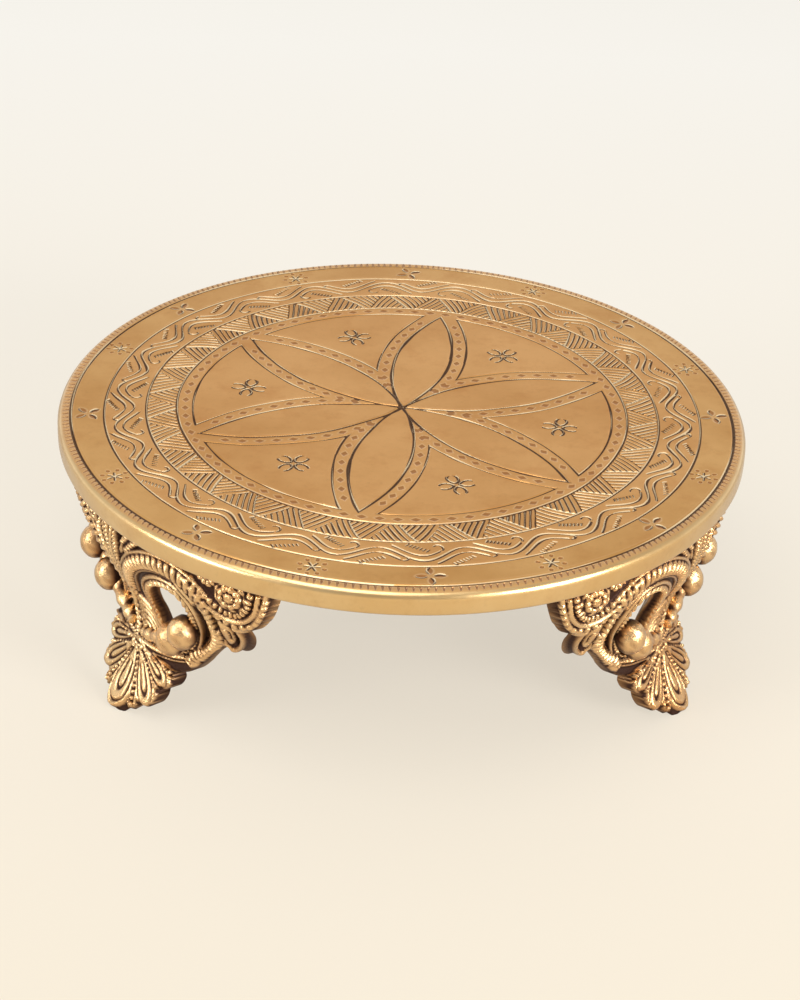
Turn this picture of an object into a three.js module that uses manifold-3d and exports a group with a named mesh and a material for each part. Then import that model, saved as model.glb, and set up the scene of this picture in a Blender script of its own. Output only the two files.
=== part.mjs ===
// A low round table in cast brass: an engraved plate with a turned-down rim, carried by three
// openwork cast legs. Each leg is a curved bracket that follows the rim, with a palmette foot.
// Millimetres, +Z up, the ground at z = 0 and the plate's centre over the origin.
import * as THREE from "three";
import { mergeVertices } from "three/addons/utils/BufferGeometryUtils.js";
import Module from "manifold-3d";

// Whole table
const plateDiameter = 254;
const tableHeight = 93;
// The legs stand evenly round the table. Azimuths here run from the front, -Y, towards the right.
const legNames = ["leg_front_right", "leg_back", "leg_front_left"];
const firstLegAzimuth = THREE.MathUtils.degToRad(63.5);

// Plate: a thin cast disc whose rim hangs below it
const plateThickness = 4.5;
const rimHeight = 9;
const rimWidth = 5;
const rimRound = 1.9;
const rimFoot = 1.3;
const grooveWidth = 0.9;
const grooveDepth = 0.5;

// Engraving: four turned circles, the plain bands between them, and the six-petal rosette
const edgeLineInset = 5;
const rimBandWidth = 12;
const waveBandWidth = 15.2;
const hatchBandWidth = 11.6;
const petalTipInset = 5.7;
const petalCount = 6;
const firstPetalAzimuth = THREE.MathUtils.degToRad(-10);
const rosetteHub = 4;

// Leg wall: a ring section that follows the rim
const wall = 6;
const rimClearance = 0.5;
const waistInset = 13.5;
const waistHeight = 34;
const toeReach = 0.6;
const flarePower = 1.6;
const shoulderDrop = 12;
const legHalfSpan = 73;
const toeHalfWidth = 4.5;

// Raised ornament on the leg
const archRod = 4.6;
const frameRod = 3.2;
const rimRod = 3.4;
const stemRod = 5;
const stalkRod = 4.6;
const berryDiameter = 11.4;
const berryLift = 3.6;
const eyeDiameter = 12;
const lobeRelief = 2.6;

// Fixing: a lug on each wing of a leg, screwed up into a boss under the plate
const bossDiameter = 14;
const bossHeight = 3.5;
const lugReach = 12.5;
const lugThickness = 4;
const lugWidth = 14;
const lugEndInset = 23;
const screwDiameter = 4;
const screwHeadDiameter = 8;
const screwHeadHeight = 2.8;
const screwHeadDome = 0.9;
const slotWidth = 1.2;
const slotDepth = 1.3;
const washerDiameter = 10;
const washerThickness = 1;
const fitClearance = 0.3;
const overrun = 3;

// How finely curves are divided
const plateSides = 64;
const ringSides = 48;
const roundSides = 12;
const rodSides = 5;
const petalSteps = 6;
const lobeSteps = 3;
const openingSteps = 14;
const slotSteps = 4;
const archSteps = 10;
const shortSteps = 5;
const leafSides = 6;
const leafRings = 4;
const ballSides = 9;
const ballRings = 6;

// Sizes that follow
const plateRadius = plateDiameter / 2;
const plateUnderside = tableHeight - plateThickness;
const rimInnerRadius = plateRadius - rimWidth;
const rimBottom = tableHeight - rimHeight;
const edgeLineRadius = plateRadius - edgeLineInset;
const waveBandRadius = edgeLineRadius - rimBandWidth;
const hatchBandRadius = waveBandRadius - waveBandWidth;
const rosetteRingRadius = hatchBandRadius - hatchBandWidth;
const petalRingRadius = rosetteRingRadius - petalTipInset;
const legTopRadius = rimInnerRadius - rimClearance;
const waistRadius = legTopRadius - waistInset;
const toeRadius = legTopRadius + toeReach;
const lugRadius = legTopRadius - wall - lugReach;
const lugAngle = Math.asin((legHalfSpan - lugEndInset) / legTopRadius);
const lugTop = plateUnderside - bossHeight;
const lugUnderside = lugTop - lugThickness;
const screwHoleRadius = screwDiameter / 2 + fitClearance;
const screwDepth = bossHeight + plateThickness / 2;

const brass = { color: 0xc08d45, roughness: 0.36, metalness: 1 };
const agedBrass = { color: 0xa8742f, roughness: 0.45, metalness: 1 };
const zincSteel = { color: 0x9c9b93, roughness: 0.4, metalness: 1 };

const wasm = await Module();
wasm.setup();

// A three.js geometry as a solid, with its shared vertices merged.
function solidOf(geometry, matrix = new THREE.Matrix4()) {
  const bare = geometry.index ? geometry.toNonIndexed() : geometry.clone();
  bare.deleteAttribute("normal");
  bare.deleteAttribute("uv");
  bare.applyMatrix4(matrix);
  const merged = mergeVertices(bare);
  return new wasm.Manifold(
    new wasm.Mesh({
      numProp: 3,
      vertProperties: merged.attributes.position.array,
      triVerts: new Uint32Array(merged.index.array),
    }),
  );
}

function geometryOf(solid) {
  const mesh = solid.getMesh();
  const geometry = new THREE.BufferGeometry();
  geometry.setAttribute("position", new THREE.BufferAttribute(mesh.vertProperties, 3));
  geometry.setIndex(new THREE.BufferAttribute(mesh.triVerts, 1));
  geometry.computeVertexNormals();
  return geometry;
}

function pieceOf(name, solid, finish) {
  const piece = new THREE.Mesh(geometryOf(solid), new THREE.MeshStandardMaterial(finish));
  piece.name = name;
  return piece;
}

// A profile of (radius, height) points turned round the table's axis, +Z up.
function turned(points, sides) {
  const profile = points.map(([radius, height]) => new THREE.Vector2(radius, height));
  const geometry = new THREE.LatheGeometry(profile, sides);
  return solidOf(geometry, new THREE.Matrix4().makeRotationX(Math.PI / 2));
}

function disc(radius, bottom, top, sides = roundSides) {
  return turned([[0, bottom], [radius, bottom], [radius, top], [0, top]], sides);
}

function move(x, y, z) {
  return new THREE.Matrix4().makeTranslation(x, y, z);
}

function turn(angle) {
  return new THREE.Matrix4().makeRotationZ(angle);
}

// A round bar along a smooth curve through the given points.
function rod(points, diameter, steps) {
  const corner = (_, i) => {
    const angle = (i * 2 * Math.PI) / rodSides;
    return new THREE.Vector2(Math.cos(angle), Math.sin(angle)).multiplyScalar(diameter / 2);
  };
  const section = new THREE.Shape(Array.from({ length: rodSides }, corner));
  const geometry = new THREE.ExtrudeGeometry(section, {
    steps,
    extrudePath: new THREE.CatmullRomCurve3(points),
    bevelEnabled: false,
  });
  return solidOf(geometry);
}

// Plate

// Profile of the plate from the axis out, over the rim and back underneath. Each engraved circle
// is a narrow V in the top face.
function plateProfile() {
  const grooves = [rosetteRingRadius, hatchBandRadius, waveBandRadius, edgeLineRadius];
  const top = grooves.flatMap((radius) => [
    [radius - grooveWidth / 2, tableHeight],
    [radius, tableHeight - grooveDepth],
    [radius + grooveWidth / 2, tableHeight],
  ]);
  const roundInset = rimRound * (1 - Math.SQRT1_2);
  const rim = [
    [plateRadius - rimRound, tableHeight],
    [plateRadius - roundInset, tableHeight - roundInset],
    [plateRadius, tableHeight - rimRound],
    [plateRadius, rimBottom + rimRound],
    [plateRadius - rimFoot, rimBottom],
    [rimInnerRadius, rimBottom],
    [rimInnerRadius, plateUnderside],
  ];
  return [[0, tableHeight], ...top, ...rim, [0, plateUnderside]].reverse();
}

// One V-shaped groove along an arc on the top face, as a solid to cut with.
function arcCutter(centre, radius, from, to) {
  // The section's X points down here. It is twice as deep as the groove, its upper half in the air.
  const section = new THREE.Shape([
    new THREE.Vector2(grooveDepth, 0),
    new THREE.Vector2(-grooveDepth, grooveWidth),
    new THREE.Vector2(-grooveDepth, -grooveWidth),
  ]);
  const arc = new THREE.EllipseCurve(centre.x, centre.y, radius, radius, from, to);
  const points = arc.getPoints(petalSteps).map((p) => new THREE.Vector3(p.x, p.y, tableHeight));
  const geometry = new THREE.ExtrudeGeometry(section, {
    steps: petalSteps,
    extrudePath: new THREE.CatmullRomCurve3(points),
    bevelEnabled: false,
  });
  return solidOf(geometry);
}

// The compass-drawn rosette: each arc is struck from one petal's tip and passes by the centre,
// from the tip on one side to the tip on the other. It stops short of a small plain hub.
function rosette() {
  const cutters = [];
  const hubAngle = rosetteHub / petalRingRadius;
  for (let k = 0; k < petalCount; k++) {
    const azimuth = firstPetalAzimuth - Math.PI / 2 + (k * 2 * Math.PI) / petalCount;
    const toward = new THREE.Vector2(Math.cos(azimuth), Math.sin(azimuth));
    const tip = toward.multiplyScalar(petalRingRadius);
    const inward = azimuth + Math.PI;
    const spread = Math.PI / 3;
    cutters.push(arcCutter(tip, petalRingRadius, inward + hubAngle, inward + spread));
    cutters.push(arcCutter(tip, petalRingRadius, inward - spread, inward - hubAngle));
  }
  return cutters;
}

// Where the screws go, in the frame of one leg.
function lugPlaces() {
  return [-lugAngle, lugAngle].map((angle) => ({ x: lugRadius, y: 0, angle }));
}

function legAzimuth(k) {
  return firstLegAzimuth - Math.PI / 2 + (k * 2 * Math.PI) / legNames.length;
}

function makePlate() {
  let plate = turned(plateProfile(), plateSides);
  const holeBottom = lugTop - overrun;
  for (let k = 0; k < legNames.length; k++) {
    for (const place of lugPlaces()) {
      const at = turn(legAzimuth(k) + place.angle).multiply(move(place.x, place.y, 0));
      const boss = disc(bossDiameter / 2, lugTop, plateUnderside + plateThickness / 3);
      const hole = disc(screwHoleRadius, holeBottom, lugTop + screwDepth);
      plate = plate.add(boss.transform(at.elements)).subtract(hole.transform(at.elements));
    }
  }
  for (const cutter of rosette()) plate = plate.subtract(cutter);
  return plate;
}

// Leg, in its own frame: +X points out from the table's axis, through the middle of the leg

// Outer radius of the leg wall at a height: full at the top, drawn in to the waist along half a
// cosine wave, and flared to the toe by a power of the height below the waist.
function wallRadius(height) {
  const shoulder = plateUnderside - shoulderDrop;
  if (height >= shoulder) return legTopRadius;
  if (height >= waistHeight) {
    const t = (height - waistHeight) / (shoulder - waistHeight);
    return waistRadius + (waistInset * (1 - Math.cos(Math.PI * t))) / 2;
  }
  const t = 1 - height / waistHeight;
  return waistRadius + (toeRadius - waistRadius) * Math.pow(t, flarePower);
}
const wallHeightShares = [0, 0.1, 0.22, 0.375, 0.52, 0.66, 0.8, 1];

// The ring that the leg is cut from.
function ring() {
  const heights = wallHeightShares.map((share) => share * plateUnderside);
  const outer = heights.map((height) => [wallRadius(height), height]);
  const inner = heights.map((height) => [wallRadius(height) - wall, height]).reverse();
  return turned([...outer, ...inner, outer[0]], ringSides);
}

// A point of the leg's outline or ornament: across as a share of the half span, and height as a
// share of the leg's height.
function flat([across, height]) {
  return new THREE.Vector2(across * legHalfSpan, height * plateUnderside);
}

// The same point on the wall's outer face, or raised above it.
function onWall([across, height], lift = 0) {
  const p = flat([across, height]);
  const radius = wallRadius(p.y);
  const angle = Math.asin(p.x / radius);
  return new THREE.Vector3(Math.cos(angle), Math.sin(angle), 0)
    .multiplyScalar(radius + lift)
    .setZ(p.y);
}

// One side of the outline, from the top of the wing down to the toe. Each row is one lobe, drawn
// as a smooth curve, and the rows meet at notches.
const outlineShares = [
  [[1, 1], [0.997, 0.904], [0.965, 0.808], [0.9, 0.728], [0.819, 0.678]],
  [[0.819, 0.678], [0.813, 0.634], [0.78, 0.579], [0.736, 0.534], [0.695, 0.512], [0.668, 0.516],
    [0.659, 0.54]],
  [[0.659, 0.54], [0.565, 0.47], [0.472, 0.373], [0.387, 0.298], [0.285, 0.26]],
  [[0.285, 0.26], [0.318, 0.232], [0.301, 0.19], [0.242, 0.175]],
  [[0.242, 0.175], [0.258, 0.13], [0.234, 0.09], [0.162, 0.084]],
  [[0.162, 0.084], [0.152, 0.052], [0.121, 0.041], [0.093, 0.052]],
  [[0.093, 0.052], [0.087, 0.02], [toeHalfWidth / legHalfSpan, 0]],
];

// The pear-shaped opening of a wing, and the two slots beside the ribbed arm.
const openingShares = [
  [0.214, 0.478], [0.223, 0.571], [0.289, 0.678], [0.394, 0.746], [0.486, 0.757], [0.525, 0.714],
  [0.504, 0.633], [0.444, 0.52], [0.372, 0.424], [0.296, 0.391], [0.237, 0.414],
];
const slotShares = [
  { path: [[0.625, 0.77], [0.617, 0.682], [0.57, 0.581], [0.5, 0.484]], wideShare: 0.017 },
  { path: [[0.707, 0.768], [0.694, 0.69], [0.668, 0.632]], wideShare: 0.014 },
];

function mirrored(points, side) {
  return points.map(([across, height]) => [across * side, height]);
}

function sideOutline() {
  const rows = outlineShares.map((row) => {
    const curve = new THREE.SplineCurve(row.map(flat));
    return curve.getPoints(lobeSteps).slice(0, -1);
  });
  return [...rows.flat(), flat(outlineShares.at(-1).at(-1))];
}

function openingPath(side) {
  const places = mirrored(openingShares, side).map(flat);
  const around = places.map((p) => new THREE.Vector3(p.x, p.y, 0));
  const rounded = new THREE.CatmullRomCurve3(around, true).getPoints(openingSteps).slice(0, -1);
  return new THREE.Path(rounded.map((p) => new THREE.Vector2(p.x, p.y)));
}

// A slot is a crescent: its curve moved to either side by a width that dies out at the ends.
function slotPath({ path, wideShare }, side) {
  const curve = new THREE.SplineCurve(mirrored(path, side).map(flat));
  const edge = (sign) =>
    Array.from({ length: slotSteps + 1 }, (_, i) => {
      const t = i / slotSteps;
      const tangent = curve.getTangent(t);
      const half = wideShare * legHalfSpan * Math.sin(Math.PI * t) * sign;
      return curve.getPoint(t).add(new THREE.Vector2(-tangent.y, tangent.x).multiplyScalar(half));
    });
  return new THREE.Path([...edge(1), ...edge(-1).reverse().slice(1, -1)]);
}

// The outline pushed straight through along X, which is how the mould parts.
function bracketCutter() {
  const right = sideOutline();
  const left = right.map((p) => new THREE.Vector2(-p.x, p.y)).reverse();
  const shape = new THREE.Shape([...right, ...left].reverse());
  for (const side of [-1, 1]) {
    shape.holes.push(openingPath(side));
    for (const slot of slotShares) shape.holes.push(slotPath(slot, side));
  }
  const depth = toeRadius + overrun;
  const geometry = new THREE.ExtrudeGeometry(shape, { depth, bevelEnabled: false });
  // The shape's X runs across the leg (+Y), its Y runs up (+Z) and the push runs out (+X).
  const axes = new THREE.Matrix4().makeBasis(
    new THREE.Vector3(0, 1, 0),
    new THREE.Vector3(0, 0, 1),
    new THREE.Vector3(1, 0, 0),
  );
  return solidOf(geometry, axes);
}

// Curves of the raised work on one wing, in the outline's shares.
const archShares = [
  [0.032, 0.591], [0.128, 0.714], [0.245, 0.806], [0.383, 0.857], [0.532, 0.862], [0.649, 0.816],
  [0.686, 0.734], [0.665, 0.642], [0.606, 0.54], [0.5, 0.438], [0.404, 0.376],
];
const frameShares = [
  [0.152, 0.427], [0.147, 0.55], [0.232, 0.683], [0.341, 0.785], [0.5, 0.795], [0.58, 0.724],
  [0.554, 0.611], [0.479, 0.489], [0.394, 0.397],
];
const wingRimShares = [
  [0.585, 0.867], [0.69, 0.791], [0.782, 0.751], [0.866, 0.763], [0.93, 0.825], [0.949, 0.904],
];
const stalkShares = [[0.053, 0.346], [0.16, 0.376], [0.319, 0.443], [0.447, 0.55]];
const stemShares = [[0, 0.33], [0, 0.5], [0, 0.7], [0, 0.9]];
const eyeShare = [0.824, 0.864];
const berryShares = [[0.458, 0.567], [0.324, 0.462]];

// Palmette lobes: where each one's root and tip lie, and its width as a share of its length.
const palmetteShares = [
  { root: [0, 0.265], tip: [0, 0.0], wideShare: 0.44 },
  { root: [0.03, 0.275], tip: [0.225, 0.09], wideShare: 0.44 },
  { root: [0.05, 0.29], tip: [0.305, 0.205], wideShare: 0.46 },
];

// A leaf: a flattened ball between its root and its tip, lying on the wall.
function leaf({ root, tip, wideShare }, side) {
  const [from, to] = mirrored([root, tip], side).map((p) => onWall(p));
  const along = to.clone().sub(from);
  const outward = onWall([((root[0] + tip[0]) / 2) * side, (root[1] + tip[1]) / 2]).setZ(0).normalize();
  const across = new THREE.Vector3().crossVectors(outward, along).normalize();
  const lifted = new THREE.Vector3().crossVectors(along, across).normalize();
  const length = along.length();
  const middle = from.clone().add(to).multiplyScalar(0.5);
  const ball = new THREE.SphereGeometry(1, leafSides, leafRings);
  const placed = new THREE.Matrix4()
    .makeBasis(
      across.multiplyScalar((wideShare * length) / 2),
      along.multiplyScalar(0.5),
      lifted.multiplyScalar(-lobeRelief),
    )
    .setPosition(middle);
  if (placed.determinant() < 0) placed.multiply(new THREE.Matrix4().makeScale(1, 1, -1));
  return solidOf(ball, placed);
}

function ball(centre, diameter) {
  const geometry = new THREE.SphereGeometry(diameter / 2, ballSides, ballRings);
  return solidOf(geometry, move(centre.x, centre.y, centre.z));
}

function wingOrnament(side) {
  const path = (shares, lift = 0) => mirrored(shares, side).map((p) => onWall(p, lift));
  const eye = onWall([eyeShare[0] * side, eyeShare[1]], -eyeDiameter / 4);
  return [
    rod(path(archShares), archRod, archSteps),
    rod(path(frameShares), frameRod, archSteps),
    rod(path(wingRimShares), rimRod, shortSteps),
    rod(path(stalkShares, berryLift / 2), stalkRod, shortSteps),
    ball(eye, eyeDiameter),
    ...path(berryShares, berryLift).map((centre) => ball(centre, berryDiameter)),
    ...palmetteShares.slice(1).map((lobe) => leaf(lobe, side)),
  ];
}

// A lug under the plate: a tongue from the wall inwards, round at its end, with a screw hole.
function lug({ x, angle }) {
  const half = lugWidth / 2;
  const reach = legTopRadius - wall / 2;
  const shape = new THREE.Shape();
  shape.moveTo(reach, -half);
  shape.lineTo(reach, half);
  shape.lineTo(x, half);
  shape.absarc(x, 0, half, Math.PI / 2, (3 * Math.PI) / 2, false);
  const hole = new THREE.Path();
  hole.absarc(x, 0, screwHoleRadius, 0, 2 * Math.PI, true);
  shape.holes.push(hole);
  const geometry = new THREE.ExtrudeGeometry(shape, {
    depth: lugThickness,
    curveSegments: roundSides / 2,
    bevelEnabled: false,
  });
  return solidOf(geometry, turn(angle).multiply(move(0, 0, lugUnderside)));
}

// The space that a leg may fill: below the rim out to the plate's edge, and inside the rim above.
function legRoom() {
  const neck = legTopRadius + rimClearance / 2;
  const shelf = rimBottom - rimClearance;
  const profile = [
    [0, 0],
    [plateRadius, 0],
    [plateRadius, shelf],
    [neck, shelf],
    [neck, plateUnderside],
    [0, plateUnderside],
  ];
  return turned(profile, plateSides);
}

function makeLeg() {
  let leg = ring().intersect(bracketCutter());
  const ornament = [...wingOrnament(-1), ...wingOrnament(1), leaf(palmetteShares[0], 1)];
  ornament.push(rod(stemShares.map((p) => onWall(p)), stemRod, shortSteps));
  for (const piece of ornament) leg = leg.add(piece);
  for (const place of lugPlaces()) leg = leg.add(lug(place));
  return leg.intersect(legRoom());
}

// Fixings, on the Z axis at their height in the table

function makeWasher() {
  const bottom = lugUnderside - washerThickness;
  const hole = disc(screwHoleRadius, bottom - overrun, lugUnderside + overrun);
  return disc(washerDiameter / 2, bottom, lugUnderside).subtract(hole);
}

function makeScrew() {
  const headTop = lugUnderside - washerThickness;
  const headBottom = headTop - screwHeadHeight;
  const head = turned(
    [
      [0, headBottom],
      [screwHeadDiameter / 2 - screwHeadDome, headBottom],
      [screwHeadDiameter / 2, headBottom + screwHeadDome],
      [screwHeadDiameter / 2, headTop],
      [0, headTop],
    ],
    roundSides,
  );
  const tip = lugTop + screwDepth - fitClearance;
  const shank = disc(screwDiameter / 2, headTop - screwHeadDome, tip);
  const bar = new THREE.BoxGeometry(screwHeadDiameter + overrun, slotWidth, 2 * slotDepth);
  return head.add(shank).subtract(solidOf(bar, move(0, 0, headBottom)));
}

// The table

const table = new THREE.Group();
table.add(pieceOf("top_plate", makePlate(), brass));

const leg = makeLeg();
const washer = makeWasher();
const screw = makeScrew();
const sideNames = ["a", "b"];
legNames.forEach((name, k) => {
  const corner = new THREE.Group();
  corner.rotation.z = legAzimuth(k);
  corner.add(pieceOf(name, leg, agedBrass));
  lugPlaces().forEach((place, i) => {
    const seat = new THREE.Group();
    seat.rotation.z = place.angle;
    for (const [kind, solid] of [["washer", washer], ["screw", screw]]) {
      const fixing = pieceOf(`${name}_${kind}_${sideNames[i]}`, solid, zincSteel);
      fixing.position.set(place.x, place.y, 0);
      seat.add(fixing);
    }
    corner.add(seat);
  });
  table.add(corner);
});

export default table;
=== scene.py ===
# %% [markdown]
# # A low brass table on three openwork legs
# The real object is a round cast-brass top, engraved by hand, on three cast legs. This lesson
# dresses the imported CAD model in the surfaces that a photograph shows: the chiselled bands and
# petals on top, the milled rim, and legs full of ribs, beads and leaves. Everything is a height
# or a profile worked out with numpy, because engraving and casting are both reliefs: a plain
# surface with something cut out of it or raised from it.

# %% The frame
import math

import bpy
import numpy as np
from mathutils import Matrix, Vector


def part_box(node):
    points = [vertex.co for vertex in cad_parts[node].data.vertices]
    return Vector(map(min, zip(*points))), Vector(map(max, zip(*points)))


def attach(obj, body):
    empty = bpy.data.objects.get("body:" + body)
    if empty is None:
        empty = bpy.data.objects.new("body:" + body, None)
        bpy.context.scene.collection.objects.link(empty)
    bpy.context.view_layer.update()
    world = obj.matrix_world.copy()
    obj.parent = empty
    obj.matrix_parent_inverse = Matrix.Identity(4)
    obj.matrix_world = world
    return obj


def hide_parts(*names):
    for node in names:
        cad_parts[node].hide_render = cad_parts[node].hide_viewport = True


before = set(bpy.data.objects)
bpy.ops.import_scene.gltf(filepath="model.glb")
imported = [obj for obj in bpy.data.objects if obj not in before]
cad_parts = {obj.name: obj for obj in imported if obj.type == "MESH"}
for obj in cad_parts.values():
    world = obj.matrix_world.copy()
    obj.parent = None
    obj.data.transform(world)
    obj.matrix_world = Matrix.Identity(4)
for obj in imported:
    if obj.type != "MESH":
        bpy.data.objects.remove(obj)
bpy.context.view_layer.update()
scene = bpy.context.scene
MM = 0.001


def box_mm(node):
    """The lowest and highest corner of a CAD node, in millimetres."""
    return [np.array(corner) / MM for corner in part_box(node)]


plate_low, plate_high = box_mm("top_plate")
plate_radius = float(plate_high[0] - plate_low[0]) / 2
table_height = float(plate_high[2])
leg_height = float(box_mm("leg_back")[1][2])
print("plate radius", plate_radius, "mm, height", table_height, "mm, legs", leg_height, "mm")

# %% [markdown]
# ## The camera
# A photograph of a round top fixes its camera: the ratio of the ellipse's axes gives the
# elevation, its two unequal halves give the distance, and its tilt gives the roll. The values
# below were found by fitting the projected circles of the top to the picture, with lengths in
# table radii. The optical centre stays in the middle of the frame, so there is no lens shift.

# %% Camera
camera_elevation = math.radians(30.78)
camera_roll = math.radians(2.5)
camera_distance = 6.79 * plate_radius * MM
camera_aside = -0.008 * plate_radius * MM
camera_lower = -0.273 * plate_radius * MM
focal_in_frame_heights = 2.325


def photo_camera():
    """A camera that looks along the elevation above the front, rolled about its own axis.
    It stands at the top's centre plus distance times back, plus the two small side steps."""
    back = Vector((0, -math.cos(camera_elevation), math.sin(camera_elevation)))
    level = Vector((1, 0, 0))
    right = math.cos(camera_roll) * level + math.sin(camera_roll) * back.cross(level)
    up = back.cross(right)
    place = Vector((0, 0, table_height * MM)) + camera_distance * back
    place += camera_aside * right + camera_lower * up
    data = bpy.data.cameras.new("photo_camera")
    data.sensor_fit = "VERTICAL"
    data.lens = focal_in_frame_heights * data.sensor_height
    camera = bpy.data.objects.new("photo_camera", data)
    camera.matrix_world = Matrix((right, up, back)).transposed().to_4x4()
    camera.matrix_world.translation = place
    scene.collection.objects.link(camera)
    return camera


scene.camera = photo_camera()
print("camera at", [round(v, 3) for v in scene.camera.matrix_world.translation])

# %% [markdown]
# ## Small sums and a hand's unevenness
# Most shapes below are made of a few sums: a value held between zero and one, a place seen from
# axes that are turned, and the distance to the nearest of many even steps. Hand work wanders, so
# one more sum adds slow sine waves in different directions. It is about -1 to 1 at each point,
# and the same on every run because the random numbers are seeded.

# %% Sums
def held(value):
    """The value held between zero and one."""
    return np.clip(value, 0, 1)


def turned(first, second, angle):
    """A place on axes turned by an angle: first times cosine plus second times sine, and second
    times cosine minus first times sine."""
    cosine, sine = math.cos(angle), math.sin(angle)
    return first * cosine + second * sine, second * cosine - first * sine


def from_nearest(value, step, last=None):
    """Signed distance to the nearest multiple of a step. With a last number, only the
    multiples from zero up to it count."""
    index = np.round(value / step)
    return value - (index if last is None else np.clip(index, 0, last)) * step


def unit(vectors):
    """The same directions with a length of one."""
    return vectors / np.linalg.norm(vectors, axis=-1, keepdims=True)


def wander(first, second, size, seed):
    """Mean of four sine waves of about the given wavelength, running in seeded directions."""
    random = np.random.default_rng(seed)
    total = 0
    for _ in range(4):
        heading = random.uniform(0, math.tau)
        length = size * random.uniform(0.7, 1.4)
        along = first * math.cos(heading) + second * math.sin(heading)
        total = total + np.sin(math.tau * along / length + random.uniform(0, math.tau))
    return total / 2.5


# %% [markdown]
# ## Meshes from arrays
# Every new piece here is a grid: rows along a profile, columns round it or across it. The grid's
# points are one numpy array, its faces follow from the row and column counts, and foreach_set
# hands both to Blender in one go. More arrays travel with the points as attributes, such as
# the patina, which says how much dark wax sits there, and the brass materials read them.

# %% Helpers for meshes
def grid_faces(rows, columns, closed):
    """The quads of a grid whose points are stored row by row, as rows of four point numbers.
    A closed grid joins its last column to its first. Rows run outwards or upwards and columns
    run counter-clockwise, so the faces look out."""
    row = np.arange(rows - 1)[:, None] * columns
    column = np.arange(columns if closed else columns - 1)[None, :]
    after = (column + 1) % columns
    corners = (row + column, row + columns + column, row + columns + after, row + after)
    return np.stack(corners, axis=-1).reshape(-1, 4)


def piece_from(name, points, quads, coats=None, sharp_above=50):
    """A Blender object with the given points in millimetres and quads, smooth but for edges
    that turn by more than the given degrees. Each coat is stored on its points by name."""
    mesh = bpy.data.meshes.new(name)
    points = np.asarray(points, float).reshape(-1, 3)
    mesh.vertices.add(len(points))
    mesh.vertices.foreach_set("co", (points * MM).ravel())
    mesh.loops.add(quads.size)
    mesh.loops.foreach_set("vertex_index", quads.ravel())
    mesh.polygons.add(len(quads))
    mesh.polygons.foreach_set("loop_start", np.arange(0, quads.size, 4))
    mesh.update(calc_edges=True)
    mesh.polygons.foreach_set("use_smooth", np.ones(len(quads), bool))
    mesh.set_sharp_from_angle(angle=math.radians(sharp_above))
    for title, values in (coats or {}).items():
        layer = mesh.attributes.new(title, "FLOAT", "POINT")
        layer.data.foreach_set("value", held(np.ravel(values)))
    mesh.validate()
    piece = bpy.data.objects.new(name, mesh)
    scene.collection.objects.link(piece)
    print(name, len(points), "points", 2 * len(quads), "triangles")
    return piece


def stand_in(node, slot, *made):
    """A new piece that rides on the table and replaces a CAD node. The slot is not used."""
    piece = piece_from(*made)
    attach(piece, "root")
    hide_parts(node)
    return piece


# %% [markdown]
# ## Chisel and punch
# A chisel stroke in brass is a V-shaped valley with a thin burr beside it. Its colours are painted
# light: a painted highlight on the wall that faces the viewer, and painted shade over dark wax on
# the wall that is turned away, so a stroke reads as a bright line beside a dark one. The class
# below collects the cuts of one band. Where cuts cross, the deepest wins, as it does under a real
# chisel. The two lines are kept as distances, not as colours, because a distance stays straight
# between the mesh's points, and the material can cut a crisp line out of it. Every stroke is named
# by its half width and depth in millimetres.

# %% Engraving
burr_height = 0.12
burr_place, burr_spread = 1.4, 0.45
# Place and width of a stroke's painted highlight and of its painted shade, in half widths.
lit_shift, lit_width = 0.6, 0.3
shade_shift, shade_width = 0.36, 0.8
reach_of_line = 3.0


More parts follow.
